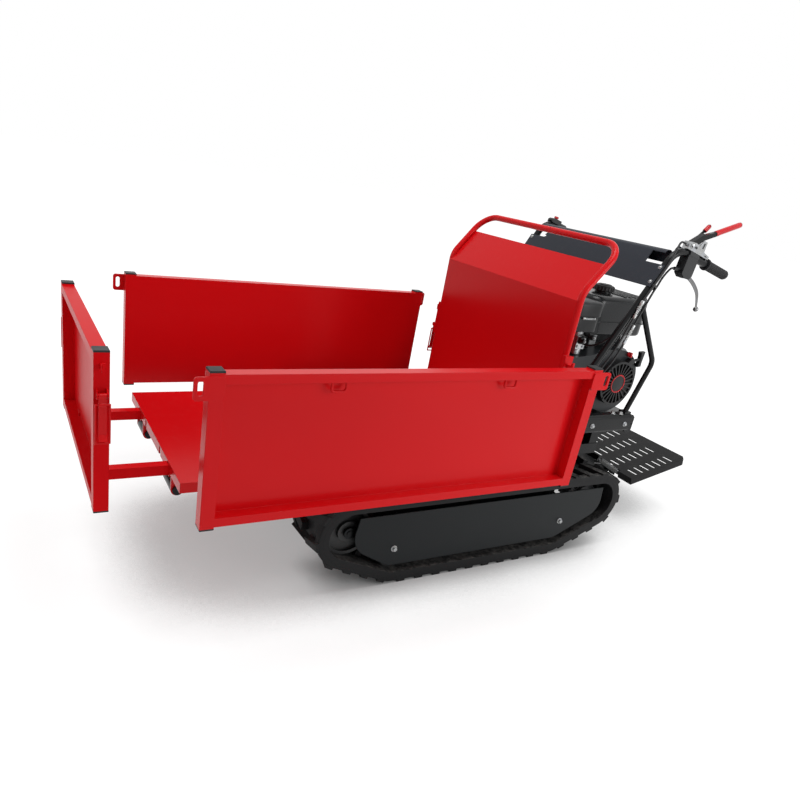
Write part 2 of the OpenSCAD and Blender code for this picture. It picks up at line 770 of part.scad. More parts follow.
module track_cover(side) {
  top_z = 220;
  low_z = 57;
  nose_r = 72;
  tail_r = 56;
  nose_x = idler_x - 82;
  tail_x = sprocket_x + 34;
  y = [cover_y - cover_t, cover_y];
  color("#2b2f33") difference() {
    mirrored(side) {
      across(y)
        polygon([[nose_x + 64, top_z], [nose_x + 72, axle_z], [nose_x + 35, 105], [nose_x - 40, 61], [nose_x - 55, low_z],
                 [tail_x + 118, low_z], [tail_x + 104, 62], [tail_x - 22, 119], [tail_x - 56, axle_z], [tail_x - 51, top_z]]);
      rod_y(nose_x, y, axle_z - 2, nose_r);
      rod_y(tail_x, y, axle_z + 1, tail_r);
    }
    both_sides() block([sprocket_x - 100, idler_x + 100], [y[0] - 1, y[1] + 1], [top_z, top_z + 100]);
    at_cover_bolts() bolt_hole();
  }
}

module left_track_cover() { track_cover(1); }
module right_track_cover() { track_cover(-1); }

// CHASSIS

beam_z0 = 118;
beam_z1 = 190;
beam_half = 16;
beam_front = idler_x - wheel_r - 44;
rod_r = 9;
rail_rear = -565;
deck_posts = [-240, -470, -545];
cross_xs = [800, 140, -250, -400];
rear_cross = -545;
leg_xs = [140, -250];
cross_z0 = rail_z0 + 2;
pad_z = bed_z - bed_t - sleeve_w - 0.3;
deck_t = 6;

// Beam inside the band, with the arms and pins of the rollers.
module track_frame() {
  roller_z = band_z + roller_r;
  block([roller_rear - 30, beam_front], [track_y - beam_half, track_y + beam_half], [beam_z0, beam_z1]);
  for (x = roller_xs) {
    block([x - 18, x + 18], [track_y - arm_out, track_y + arm_out], [beam_z0, beam_z1]);
    for (y = [[track_y + arm_in, track_y + arm_out], [track_y - arm_out, track_y - arm_in]])
      across(y) {
        translate([x - 18, roller_z]) square([36, beam_z0 - roller_z + 1]);
        translate([x, roller_z]) circle(18);
      }
    rod_y(x, [track_y - arm_out - 2, track_y + arm_out + 2], roller_z, axle_r);
  }
  for (p = cover_bolts) rod_y(p[0], [track_y + 10, cover_y - cover_t], p[1], 11);
}

foot_arm_y = [84, 92];

// Strap over the gearbox, with the arm that hangs from it and carries the footplate on a stud.
module foot_arm() {
  across(foot_arm_y) {
    polygon([[-380, rail_z1 - 4], [-604, rail_z1 - 4], [-606, cross_z0], [-640, 246], [-668, 244], [-700, foot_z + 24],
             [foot_x - 6, foot_z + 13], [foot_x - 4, foot_z - 13], [-690, foot_z - 18], [-612, foot_z - 18],
             [-568, foot_z + 30], [-568, cross_z0], [-380, cross_z0]]);
    translate([foot_x, foot_z]) circle(14);
  }
  rod_y(foot_x, [foot_arm_y[0] + 2, foot_arm_y[1] + 14], foot_z, foot_pin_r);
}

spring_y = 130;
spring_top = [-655, spring_y, 232];
spring_low = [foot_x - 27, spring_y, foot_z - 7];
spring_slope = atan2(spring_top[2] - spring_low[2], spring_top[0] - spring_low[0]);
lug_t = 8;

module chassis_frame() {
  inner = rail_y - rail_w / 2;
  color(black) difference() {
    union() {
      both_sides() {
        block([rail_rear, hinge_x - 4], [rail_y - rail_w / 2, rail_y + rail_w / 2], [rail_z0, rail_z1]);
        rod_y(hinge_x, [rail_y - knuckle_l / 2, rail_y + knuckle_l / 2], hinge_z, knuckle_r);
        for (x = [300, -100]) rod_z(x, rail_y, [rail_z1 - 1, pad_z], 17);
        for (x = deck_posts) block([x - 18, x + 18], [rail_y - 18, rail_y + 18], [rail_z1 - 1, deck_z - deck_t]);
        for (x = leg_xs) block([x - 18, x + 18], [track_y - 138, track_y - 102], [150, cross_z0 + 2]);
        track_frame();
        foot_arm();
      }
      for (x = cross_xs) block([x - 20, x + 20], [-inner - 1, inner + 1], [cross_z0, rail_z1 - 4]);
      for (x = leg_xs) block([x - 25, x + 25], [10 - track_y, track_y - 10], [beam_z0 + 10, beam_z1 - 10]);
      block([rear_cross - 20, rear_cross + 20], [-foot_arm_y[1], inner + 1], [cross_z0, rail_z1 - 4]);
      translate([spring_top[0], foot_arm_y[1] - 1, spring_top[2]]) rotate([0, -spring_slope, 0])
        translate([-lug_t / 2, 0, -9]) cube([lug_t, spring_y + 10 - foot_arm_y[1], 18]);
    }
    both_sides() {
      rod_y(hinge_x, [rail_y - knuckle_l, rail_y + knuckle_l], hinge_z, hinge_pin_r + run_fit);
      rod_x([beam_front - 44, beam_front + 1], track_y, axle_z, rod_r + 0.3);
    }
    at_cover_bolts() bolt_hole();
  }
}

module tip_hinge_pins() {
  out = knuckle_l / 2 + ear_gap + ear_t + 0.5;
  color(zinc) both_sides() {
    rod_y(hinge_x, [rail_y - out - 5, rail_y + out], hinge_z, hinge_pin_r);
    rod_y(hinge_x, [rail_y + out, rail_y + out + 5], hinge_z, hinge_pin_r + 4);
    rod_y(hinge_x, [rail_y - out - 5, rail_y - out], hinge_z, hinge_pin_r + 3);
  }
}

module track_tensioners() {
  yoke = idler_x - wheel_r - 30;
  color(zinc) both_sides() {
    block([yoke, yoke + 18], [track_y - arm_out, track_y + arm_out], [axle_z - 16, axle_z + 16]);
    for (y = [[track_y + arm_in, track_y + arm_out], [track_y - arm_out, track_y - arm_in]])
      across(y) {
        translate([yoke, axle_z - 14]) square([idler_x - yoke, 28]);
        translate([idler_x, axle_z]) circle(16);
      }
    rod_y(idler_x, [track_y - arm_out - 2, track_y + arm_out + 2], axle_z, axle_r);
    rod_x([beam_front - 36, yoke + 1], track_y, axle_z, rod_r);
    translate([beam_front, track_y, axle_z]) rotate([0, 90, 0]) cylinder(h = 11, r = 17, $fn = 6);
  }
}

// DRIVE

input = [-540, 262];
guard_y = [track_w / 2 + 3 - track_y, track_w / 2 + 39 - track_y];
selector = [-460, 108, 322];

// Two circles joined by their outer tangents.
module belt_shape(a, ra, b, rb) {
  d = b - a;
  turn = acos((ra - rb) / norm(d));
  dir = atan2(d[1], d[0]);
  translate(a) circle(ra, $fn = 96);
  translate(b) circle(rb, $fn = 96);
  polygon([a + ra * [cos(dir - turn), sin(dir - turn)], b + rb * [cos(dir - turn), sin(dir - turn)],
           b + rb * [cos(dir + turn), sin(dir + turn)], a + ra * [cos(dir + turn), sin(dir + turn)]]);
}

module gearbox() {
  half = 70;
  c = [sprocket_x, axle_z];
  color("#3a3e42") difference() {
    union() {
      across([-half, half]) {
        translate(c) circle(82, $fn = 96);
        translate([c[0] - 82, c[1]]) square([164, cross_z0 - c[1] - 8]);
      }
      block([-620, -370], [-80, 80], [cross_z0 - 14, cross_z0]);
      for (x = [-545, -484, -423]) block([x - 4, x + 4], [-half - 8, half + 8], [c[1] - 30, cross_z0 - 6]);
      both_sides() rod_y(c[0], [half - 2, axle_tube_y], c[1], 26);
      rod_y(input[0], [guard_y[1] - 24, -60], input[1], 20);
      both_sides() rod_z(selector[0], 62, [cross_z0 - 20, selector[2]], 9);
      both_sides() block([selector[0] - 12, selector[0] + 12], [54, selector[1]], [selector[2] - 4, selector[2] + 4]);
    }
    both_sides() rod_y(c[0], [shaft_in - 2, axle_tube_y + 1], c[1], shaft_r + run_fit);
  }
}

module belt_guard() {
  wall = 2;
  crank = [crank_x, crank_z];
  color(black) difference() {
    across(guard_y) belt_shape(crank, 95, input, 58);
    across([guard_y[0] + wall, guard_y[1] + 1]) belt_shape(crank, 95 - wall, input, 58 - wall);
  }
}

// ENGINE DECK

side_rail_y = [255, 295];
side_rail_z = [410, 468];
side_rail_x = [-545, -200];
cable_hole = [-343, 231.5];

module engine_deck() {
  rear = -680;
  nose_r = 17;
  color(black) {
    difference() {
      union() {
        block([side_rail_x[0], -205], [-side_rail_y[0] - 1, side_rail_y[0] + 1], [deck_z - deck_t, deck_z]);
        block([rear, side_rail_x[0] + 1], [-195, 195], [deck_z - deck_t, deck_z]);
        across([-195, 195]) {
          translate([rear, deck_z - 50]) circle(nose_r);
          translate([rear - nose_r, deck_z - 50]) square([deck_t, 40]);
          translate([rear, deck_z - 17]) circle(nose_r);
        }
      }
      block([-665, -455], [guard_y[0] - 6, guard_y[1] + 2], [deck_z - deck_t - 1, deck_z + 1]);
      both_sides() rod_z(cable_hole[0], cable_hole[1], [deck_z - 20, deck_z + 1], 14);
    }
    both_sides() difference() {
      along(side_rail_x) rounded([side_rail_y[0], side_rail_z[0]], [side_rail_y[1], side_rail_z[1]], 12);
      along([side_rail_x[0] - 1, side_rail_x[1] - 3])
        translate([side_rail_y[0] + 3, side_rail_z[0] - 1]) square([34, side_rail_z[1] - side_rail_z[0] - 8]);
    }
  }
}

// ENGINE

block_y = [guard_y[1], 112];
cyl_lean = 25;
shroud_y = 166;

module engine_block() {
  color("#4a4e52") {
    block([-680, -450], [-80, 100], [deck_z, deck_z + 12]);
    across(block_y) rounded([crank_x - 103, deck_z + 10], [crank_x + 95, crank_z + 97], 30);
    for (x = [-625, -485]) block([x - 14, x + 14], [-30, 110], [crank_z + 90, tank_z]);
    rod_y(crank_x, [guard_y[0] + 8, block_y[0] + 1], crank_z, 10);
    translate([crank_x, 0, crank_z]) rotate([0, -cyl_lean, 0]) {
      block([70, 206], [-42, 82], [-46, 46]);
      for (k = [0:6]) block([104 + 14 * k, 109 + 14 * k], [-50, 90], [-58, 58]);
      block([204, 232], [-50, 90], [-54, 54]);
      block([231, 250], [-30, 70], [-42, 42]);
    }
  }
}

module engine_shroud() {
  y = [block_y[1], shroud_y];
  color("#22252a") {
    rod_y(crank_x, y, crank_z, 106);
    across(y) polygon([[crank_x - 20, 636], [-505, 640], [-440, 622], [-352, 612], [-337, 596], [-340, 548], [-400, 488],
             [-480, 440], [crank_x, crank_z - 100]]);
  }
}

module recoil_cover() {
  boss_r = 31;
  rim_t = 7;
  color("#1f2226") {
    translate([crank_x, 0, crank_z]) rotate([-90, 0, 0]) difference() {
      translate([0, 0, shroud_y]) cylinder(h = recoil_y - shroud_y, r = recoil_r, $fn = 96);
      translate([0, 0, recoil_y - 6]) linear_extrude(7) difference() {
        circle(recoil_r - rim_t, $fn = 96);
        circle(boss_r, $fn = 96);
        for (k = [0:vane_n - 1]) rotate(360 * k / vane_n) translate([0, -2.2]) square([recoil_r, 4.4]);
      }
    }
    across([shroud_y, shroud_y + 18])
      polygon([[-585, 592], [-598, 584], [-621, 598], [-622, 611], [-606, 614]]);
  }
}

pull_dir = unit([-42, 0, 8]);

module starter_grip() {
  y = shroud_y + 9;
  color(black) {
    bar([-623.2, y, 606.1], [-646, y, 610.5], 4.5);
    block([-660, -644], [y - 8, y + 8], [586, 637]);
  }
}

module engine_switch() {
  color(red) {
    rod_y(-604, [shroud_y + 0.3, shroud_y + 7], 626, 8);
    block([-607, -601], [shroud_y + 6, shroud_y + 13], [618.5, 633.5]);
  }
}

tank_c = [-548, 45];
cap_c = [-525, 60];

module fuel_tank() {
  x = [tank_c[0] - tank_l / 2, tank_c[0] + tank_l / 2];
  y = [tank_c[1] - tank_w / 2, tank_c[1] + tank_w / 2];
  color("#1e2125") {
    upright([tank_z, tank_z + tank_h - 12]) rounded([x[0] + 5, y[0] + 5], [x[1] - 5, y[1] - 5], 26);
    upright([tank_z + 40, tank_z + 45]) rounded([x[0], y[0]], [x[1], y[1]], 28);
    upright([tank_z + 50, tank_z + tank_h]) rounded([x[0] + 15, y[0] + 15], [x[1] - 15, y[1] - 15], 22);
    rod_z(cap_c[0], cap_c[1], [tank_z + tank_h - 1, tank_z + tank_h + 6], cap_r - 7);
  }
}

module fuel_cap() {
  z = tank_z + tank_h + 6.3;
  color("#1a1c1f") difference() {
    union() {
      rod_z(cap_c[0], cap_c[1], [z, z + 18], cap_r);
      rod_z(cap_c[0], cap_c[1], [z + 17, z + 22], cap_r - 8);
    }
    for (k = [0:11]) translate([cap_c[0], cap_c[1], z - 1]) rotate(30 * k) translate([cap_r + 1, 0, 0]) cylinder(h = 17, r = 4);
  }
}

module air_cleaner() {
  color("#1c1f22") {
    upright([700, 746]) rounded([-405, 62], [-302, 188], 22);
    upright([746, 790]) rounded([-408, 58], [-299, 192], 24);
    rod_z(-352, 125, [789, 798], 9);
  }
}

module carburettor() {
  color("#b9bcbd") {
    rod_y(-392, [90, 104], 655, 16);
    block([-410, -374], [103, 148], [636, 676]);
    rod_z(-392, 126, [675, 700], 17);
    rod_z(-392, 126, [625, 637], 15);
  }
}

module muffler() {
  color("#2a2d30") {
    across([-190, -64]) rounded([-430, 622], [-302, 758], 24);
    rod_y(-370, [-65, -50], 640, 17);
    rod_y(-330, [-206, -189], 735, 12);
  }
}

// HANDLEBAR

handle_foot = [-242, 468];
handle_bend = [-526, 977];
handle_end = [-781, 916.4];
stem_dir = unit(handle_bend - handle_foot);
grip_dir = unit(handle_end - handle_bend);
stem_angle = atan2(stem_dir[1], stem_dir[0]);
grip_angle = atan2(grip_dir[1], grip_dir[0]);

// Profile along the sloping stem: first axis up the stem, second axis to the rear of it.
module by_stem(y) { across(y) translate(handle_foot) rotate(stem_angle) children(); }

// Profile along the grip: first axis to the rear along the tube, second axis downwards.
module by_grip(y) { across(y) translate(handle_bend) rotate(grip_angle) children(); }

// Points in the same two local systems.
function on_stem(s, back, y) =
  let (p = handle_foot + s * stem_dir + back * [-stem_dir[1], stem_dir[0]]) [p[0], y, p[1]];
function on_grip(s, up, y) =
  let (p = handle_bend + s * grip_dir - up * [-grip_dir[1], grip_dir[0]]) [p[0], y, p[1]];

module handle_tubes() {
  foot_h = 6;
  start = on_stem(foot_h / stem_dir[1], 0, handle_y);
  bend = [handle_bend[0], handle_y, handle_bend[1]];
  tip = [handle_end[0], handle_y, handle_end[1]];
  color(black) difference() {
    both_sides() {
      bent_tube([start, bend, tip], handle_r, 60);
      bent_tube([on_stem(410, 0, handle_y), [-584, handle_y, 634], [-531, handle_y, side_rail_z[1] + 5]], brace_r, 34);
      block([-276, -214], [handle_y - 13, handle_y + 13], [side_rail_z[1], side_rail_z[1] + foot_h]);
      block([-544, -516], [handle_y - 13, handle_y + 13], [side_rail_z[1], side_rail_z[1] + foot_h]);
    }
    at_panel_bolts() bolt_hole();
  }
}

module handle_grips() {
  l = norm(handle_end - handle_bend);
  color(rubber) both_sides() difference() {
    union() {
      bar(on_grip(l + 3 - grip_l, 0, handle_y), on_grip(l + 3, 0, handle_y), grip_r);
      bar(on_grip(l + 3 - grip_l, 0, handle_y), on_grip(l + 9 - grip_l, 0, handle_y), grip_r + 3);
    }
    bar(on_grip(l - grip_l - 1, 0, handle_y), on_grip(l, 0, handle_y), handle_r + run_fit);
  }
}

panel_low = 447;
panel_top = 556;
window_low = 519;
panel_bolts = [462, 510];

module at_panel_bolts() {
  both_sides() for (s = panel_bolts)
    translate(on_stem(s, -handle_r - cross_t, handle_y)) rotate([0, 90 - stem_angle + 90, 0]) children();
}

module cross_panel() {
  half = handle_y + handle_r;
  roll = 19;
  slot_half = 216;
  roll_half = handle_y - handle_r - 4;
  color("#383c44") difference() {
    union() {
      by_stem([-half, half]) translate([panel_low, -handle_r - cross_t]) square([window_low - panel_low, cross_t]);
      by_stem([-slot_half, slot_half]) translate([window_low - 1, -handle_r - cross_t])
        square([panel_top - window_low + 1, cross_t]);
      by_stem([-roll_half, roll_half]) translate([panel_top, roll - handle_r - cross_t]) difference() {
        circle(roll, $fn = 96);
        circle(roll - cross_t, $fn = 96);
        polygon([[0, 0], [-60, 50], [-90, 0], [-60, -60], [0, -60]]);
      }
    }
    at_panel_bolts() bolt_hole();
  }
}

// CONTROLS

cheek_in = 9;
cheek_t = 2;
lever_pin_r = 4;
drive_pivot = [45, 24];
hub_gap = 0.4;

// Zinc channel on the handle that holds the drive lever between its cheeks, with both cable stops.
drive_stop = [24, 22];
throttle_stop = [50, 12.5];
stop_y = 246;

module lever_brackets() {
  top = handle_r;
  y = [handle_y - cheek_in - cheek_t, handle_y + cheek_in + cheek_t];
  color(zinc) {
    by_grip(y) {
      translate([31, -top - 3]) square([107, 3]);
      translate([31, -32]) square([2.5, 32 - top]);
    }
    for (y0 = [y[0], y[1] - cheek_t])
      by_grip([y0, y0 + cheek_t])
        polygon([[31, -top], [31, -32], [58, -36], [76, -33], [84, -52], [102, -52], [108, -24], [138, -20], [138, -top]]);
    bar(on_grip(drive_pivot[0], drive_pivot[1], y[0] - 2), on_grip(drive_pivot[0], drive_pivot[1], y[1] + 2), lever_pin_r);
    for (s = [68, 120]) bar(on_grip(s, 13, handle_y), on_grip(s, 17, handle_y), 5);
    rod_y(throttle_pivot[0], [handle_y - 30, y[0] + 1], throttle_pivot[2], lever_pin_r);
    bar(on_grip(drive_stop[0], drive_stop[1], handle_y), on_grip(32, drive_stop[1], handle_y), 5);
    by_grip([stop_y - 4, y[0] + 1]) translate([throttle_stop[0] + 3, -top - 3]) square([10, 3]);
    bar(on_grip(throttle_stop[0], throttle_stop[1], stop_y), on_grip(throttle_stop[0] + 14, throttle_stop[1], stop_y), 4);
  }
}

module left_drive_lever() {
  w = cheek_in - hub_gap;
  grip_b = on_grip(221, 144, handle_y);
  color(black) difference() {
    union() {
      by_grip([handle_y - w, handle_y + w]) {
        translate([drive_pivot[0], -drive_pivot[1]]) circle(9);
        polygon([[38, -30], [52, -17], [92, -56], [80, -70]]);
      }
      by_grip([handle_y - 6, handle_y + 6])
        polygon([[76, -63], [86, -50], [143, -86], [139, -97]]);
      bar(on_grip(132, 87, handle_y), grip_b, 7.5);
    }
    bar(on_grip(drive_pivot[0], drive_pivot[1], handle_y - 20), on_grip(drive_pivot[0], drive_pivot[1], handle_y + 20),
        lever_pin_r + run_fit);
  }
}

stop_s = 40;
stop_top = 19;
stop_r = 8;

// Engine stop button in the box on the right-hand lever housing.
module stop_button() {
  color(red) mirrored(-1) {
    bar(on_grip(stop_s, stop_top - 3.5, handle_y), on_grip(stop_s, stop_top + 4, handle_y), stop_r - 3);
    bar(on_grip(stop_s, stop_top + 3, handle_y), on_grip(stop_s, stop_top + 9, handle_y), stop_r);
  }
}

steer_pivot = [88, 53];
steer_stop = [27, 51];
steer_pin_r = 3;

// Box clamped under the handle, with a slot for the steering lever's root.
module steering_lever_housings() {
  w = 14;
  for (side = [1, -1]) color("#1b1d20") mirrored(side) {
    difference() {
      union() {
        by_grip([handle_y - w, handle_y + w])
          polygon([[45, 2], [95, 2], [101, 52], [93, 63], [70, 65], [52, 56]]);
        bar(on_grip(48, 0, handle_y), on_grip(93, 0, handle_y), handle_r + 4);
        bar(on_grip(steer_stop[0], -steer_stop[1], handle_y), on_grip(54, -45, handle_y), 5);
        // The far side also carries the stop switch.
        if (side < 0) by_grip([handle_y - w, handle_y + w])
          polygon([[18, -4], [18, 5 - stop_top], [24, -stop_top], [58, -stop_top], [62, -4]]);
      }
      bar(on_grip(10, 0, handle_y), on_grip(130, 0, handle_y), handle_r + run_fit);
      by_grip([handle_y - 5, handle_y + 5]) polygon([[70, 38], [120, 34], [120, 90], [70, 90]]);
      // Room for the lever bracket's base, or the button's hole.
      if (side > 0) by_grip([handle_y - 20, handle_y + 20]) translate([40, -40]) square([60, 40.3 - handle_r]);
      else bar(on_grip(stop_s, stop_top - 6.7, handle_y), on_grip(stop_s, stop_top + 1, handle_y), stop_r - 3 + run_fit);
    }
    bar(on_grip(steer_pivot[0], -steer_pivot[1], handle_y - w + 2),
        on_grip(steer_pivot[0], -steer_pivot[1], handle_y + w - 2), steer_pin_r);
  }
}

module steering_lever(side) {
  w = 4;
  color(chrome) mirrored(side) difference() {
    union() {
      by_grip([handle_y - w, handle_y + w]) translate(steer_pivot) circle(8);
      bent_tube([on_grip(steer_pivot[0] + 2, -steer_pivot[1] - 1, handle_y), [-672, handle_y, 868], [-703, handle_y, 806]], 3.9, 40);
      translate([-703, handle_y, 806]) sphere(8);
    }
    bar(on_grip(steer_pivot[0], -steer_pivot[1], handle_y - 20), on_grip(steer_pivot[0], -steer_pivot[1], handle_y + 20),
        steer_pin_r + run_fit);
  }
}

module left_steering_lever() { steering_lever(1); }
module right_steering_lever() { steering_lever(-1); }

throttle_pivot = [-610, 250, 985];

module throttle_lever() {
  y = [handle_y - 27, handle_y - 24];
  color(black) difference() {
    union() {
      across(y) {
        translate([throttle_pivot[0], throttle_pivot[2]]) circle(10);
        polygon([[-616, 979], [-604, 992], [-660, 1042], [-664, 1037]]);
      }
      bar([-658, handle_y - 25.5, 1034], [-672, handle_y - 25.5, 1049], 6);
    }
    rod_y(throttle_pivot[0], [handle_y - 40, handle_y], throttle_pivot[2], lever_pin_r + run_fit);
  }
}

// Routes of the control cables, from the levers to the gearbox arms and the carburettor.
drive_route = [on_grip(drive_stop[0], drive_stop[1], 275), [-546, 275, 995], [-536, 276.5, 995.5], [-524, 281, 990],
               [-512, 286.5, 975], [-500, 290, 953], [-488, 291.5, 928], [-462, 291.5, 880], [-432, 291.5, 824],
               [-414, 291.5, 772], [-394, 291.5, 720], [-376, 289, 670], [-358, 280, 620], [-345, 264, 570],
               [-338, 247, 515], [-338, 237, 460], [-338, 230, 415], [-346, 210, 365], [-362, 178, 343],
               [-385, 142, 331], [-412, 104, 325], [-432, 87, 322], [selector[0] + 12, 86, 322]];
steer_route = [on_grip(steer_stop[0], -steer_stop[1], 275), [-533, 275, 921], [-525, 275.5, 918], [-514, 277, 909],
               [-502, 279.5, 898], [-491, 282.5, 886], [-478, 286.5, 868], [-464, 289.5, 848], [-446, 290, 803],
               [-427, 290, 752], [-407, 290, 694], [-388, 284, 635], [-370, 262, 570], [-356, 244, 510],
               [-348, 235, 455], [-348, 233, 415], [-354, 216, 365], [-370, 184, 342], [-395, 146, 330],
               [-420, 112, 324], [-436, 99, 322], [selector[0] + 12, 98, 322]];
throttle_route = [on_grip(throttle_stop[0], throttle_stop[1], stop_y), [-570, 246, 979], [-562, 247, 974],
                  [-556, 248, 963], [-548, 250, 942], [-530, 254, 912], [-500, 256, 868], [-465, 256, 812],
                  [-440, 252, 765], [-424, 240, 718], [-412, 212, 678], [-403, 182, 658], [-394, 162, 655],
                  [-393, 148, 655]];

// Cable along a route, with a thicker adjuster between the points k and k + 1.
module cable(route, k) {
  adjuster_r = cable_r + 2;
  d = unit(route[k + 1] - route[k]);
  pts = [for (i = [0:len(route) - 1]) each i == k || i == k + 1 ? [route[i] - d, route[i] + d] : [route[i]]];
  radii = [for (i = [0:len(pts) - 1]) i > k && i < k + 3 ? adjuster_r : cable_r];
  swept(pts, radii, 8);
}

module control_cables() {
  color(rubber) {
    cable(drive_route, 8);
    both_sides() cable(steer_route, 9);
    swept(throttle_route, cable_r, 8);
  }
}

// FOOTPLATE

slot_step = 30.5;
row_step = 0.21 * foot_w;

// Drawn level behind the hinge, then tilted to its rest position.
module footplate() {
  front = 8;
  corner = 14;
  half = foot_w / 2;
  top = 6;
  ear = [foot_arm_y[1] + 3, foot_arm_y[1] + 9];
  low = [spring_low[0] - foot_x, spring_low[2] - foot_z];
  lug = [low[0] * cos(foot_tilt) - low[1] * sin(foot_tilt), spring_y, low[0] * sin(foot_tilt) + low[1] * cos(foot_tilt)];
  color("#1e1f21") translate([foot_x, 0, foot_z]) rotate([0, foot_tilt, 0]) difference() {
    union() {
      translate([0, 0, top - foot_t]) linear_extrude(foot_t)
        polygon([[-front, -half], [-front, half], [corner - foot_l, half], [-foot_l, half - corner],
                 [-foot_l, corner - half], [corner - foot_l, -half]]);
      both_sides() {
        block([corner - foot_l, -front], [half - foot_t, half], [top - foot_edge, top]);
        translate([0, 0, top - foot_edge]) linear_extrude(foot_edge)
          polygon([[corner - foot_l, half], [-foot_l, half - corner], [-foot_l + foot_t, half - corner],
                   [corner - foot_l, half - foot_t]]);
        across(ear) {
          translate([-front - 14, -10]) square([front + 14, 15]);
          circle(11);
        }
        block([-front - foot_t, -front], [foot_arm_y[1] + 4, half], [top - foot_edge, top]);
      }
      block([-foot_l, foot_t - foot_l], [corner - half, half - corner], [top - foot_edge, top]);
      block([-front - foot_t, -front], [6 - foot_arm_y[0], foot_arm_y[0] - 6], [top - foot_edge, top]);
      block([-29, -21], [spring_y - 10, spring_y + 10], [-12, top - 1]);
      translate(lug) rotate([0, -spring_slope - foot_tilt, 0]) cube([lug_t, 20, 15], center = true);
    }
    both_sides() {
      rod_y(0, [ear[0] - 1, ear[1] + 1], 0, foot_pin_r + run_fit);
      block([-30, 1], [foot_arm_y[0] - 3, foot_arm_y[1] + 2.5], [-30, 20]);
    }
    block([-19, 1], [spring_y - 9, spring_y + 9], [-30, 20]);
    for (row = [0:slot_rows - 1], k = [0:slot_n - 1])
      translate([-front - 38 - slot_step * k, (row - (slot_rows - 1) / 2) * row_step, 0])
        linear_extrude(20) slot(slot_l, slot_w);
  }
}

module flange_bolts() {
  color(zinc) {
    at_cover_bolts() bolt();
    at_panel_bolts() bolt();
  }
}

// Tension spring between the chassis and the footplate: one wire, hooked at both ends.
curl_step = 4.2;

module footplate_spring() {
  axis = spring_low - spring_top;
  span = norm(axis);
  coil = curl_step * curl_n;
  lead = (span - coil) / 2;
  d = unit(axis);
  u = [0, 1, 0];
  v = cross(d, u);
  steps = 8 * curl_n;
  pts = concat([spring_top + lug_t / 2 * d, spring_top + (lead - 6) * d],
               [for (i = [0:steps])
                 let (a = 45 * i, r = spring_r * min(1, i / 6, (steps - i) / 6))
                 spring_top + (lead + coil * i / steps) * d + r * (cos(a) * u + sin(a) * v)],
               [spring_low - (lead - 6) * d, spring_low - (lug_t / 2 + 3.3) * d]);
  color(zinc) swept(pts, wire_r, 6);
}
echo(gap_between_curls = curl_step - 2 * wire_r);

// Moves the drawing so that the origin lies under the middle of the machine's box.
centre_x = 10;

module placed() { translate([centre_x, 0, 0]) children(); }

placed() chassis_frame();
placed() left_track_belt();
placed() right_track_belt();
placed() left_track_cover();
placed() right_track_cover();
placed() track_tensioners();
placed() flange_bolts();
placed() gearbox();
placed() belt_guard();
placed() tip_hinge_pins();
placed() engine_deck();
placed() engine_block();
placed() engine_shroud();
placed() recoil_cover();
placed() fuel_tank();
placed() air_cleaner();
placed() carburettor();
placed() muffler();
placed() handle_tubes();
placed() handle_grips();
placed() cross_panel();
placed() lever_brackets();
placed() steering_lever_housings();
placed() control_cables();
placed() footplate_spring();
placed() footplate();
placed() left_sprocket();
placed() right_sprocket();
placed() left_idler();
placed() right_idler();
placed() left_roller_front();
placed() left_roller_middle();
placed() left_roller_rear();
placed() right_roller_front();
placed() right_roller_middle();
placed() right_roller_rear();
placed() starter_grip();
placed() fuel_cap();
placed() engine_switch();
placed() left_drive_lever();
placed() stop_button();
placed() left_steering_lever();
placed() right_steering_lever();
placed() throttle_lever();
placed() load_bed();
placed() headboard();
placed() left_side_panel();
placed() right_side_panel();
placed() front_panel();
placed() left_panel_caps();
placed() right_panel_caps();
placed() front_panel_caps();
placed() front_left_latch_lever();
placed() front_right_latch_lever();
placed() rear_left_latch_lever();
placed() rear_right_latch_lever();
placed() front_left_latch_bail();
placed() front_right_latch_bail();
placed() rear_left_latch_bail();
placed() rear_right_latch_bail();
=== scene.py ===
import bpy
import bmesh
import math
from mathutils import Matrix, Vector


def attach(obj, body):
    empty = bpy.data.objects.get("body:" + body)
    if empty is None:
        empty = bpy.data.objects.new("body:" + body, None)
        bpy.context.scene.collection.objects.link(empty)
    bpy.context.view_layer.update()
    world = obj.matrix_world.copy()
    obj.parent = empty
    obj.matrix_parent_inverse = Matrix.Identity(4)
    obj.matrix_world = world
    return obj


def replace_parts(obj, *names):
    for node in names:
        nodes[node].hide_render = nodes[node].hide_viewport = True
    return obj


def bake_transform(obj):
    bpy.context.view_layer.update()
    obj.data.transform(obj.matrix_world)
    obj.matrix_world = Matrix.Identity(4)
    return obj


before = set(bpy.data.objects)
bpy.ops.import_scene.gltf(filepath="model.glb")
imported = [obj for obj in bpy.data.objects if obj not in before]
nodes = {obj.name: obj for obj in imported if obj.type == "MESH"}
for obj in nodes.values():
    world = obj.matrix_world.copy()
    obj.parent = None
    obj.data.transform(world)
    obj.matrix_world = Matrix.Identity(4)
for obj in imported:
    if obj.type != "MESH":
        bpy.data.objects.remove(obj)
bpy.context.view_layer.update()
scene = bpy.context.scene
print("frame loaded,", len(nodes), "nodes")

tiny = 1e-6
drawingShift = 10  # the drawing's zero lies this far forward in the frame
handle = {"start": (-526, 977), "lean": 193.37, "stem": (-0.4872, 0, 0.8732), "y": 275}


# a place of the drawing, which is in millimetres
def at(x, y, z):
    return Vector(((x + drawingShift) / 1000, y / 1000, z / 1000))


lean = math.radians(handle["lean"])
gripDir = Vector((math.cos(lean), 0, math.sin(lean)))
gripUp = Vector((gripDir.z, 0, -gripDir.x))
stemDir = Vector(handle["stem"])
stemFront = Vector((stemDir.z, 0, -stemDir.x))


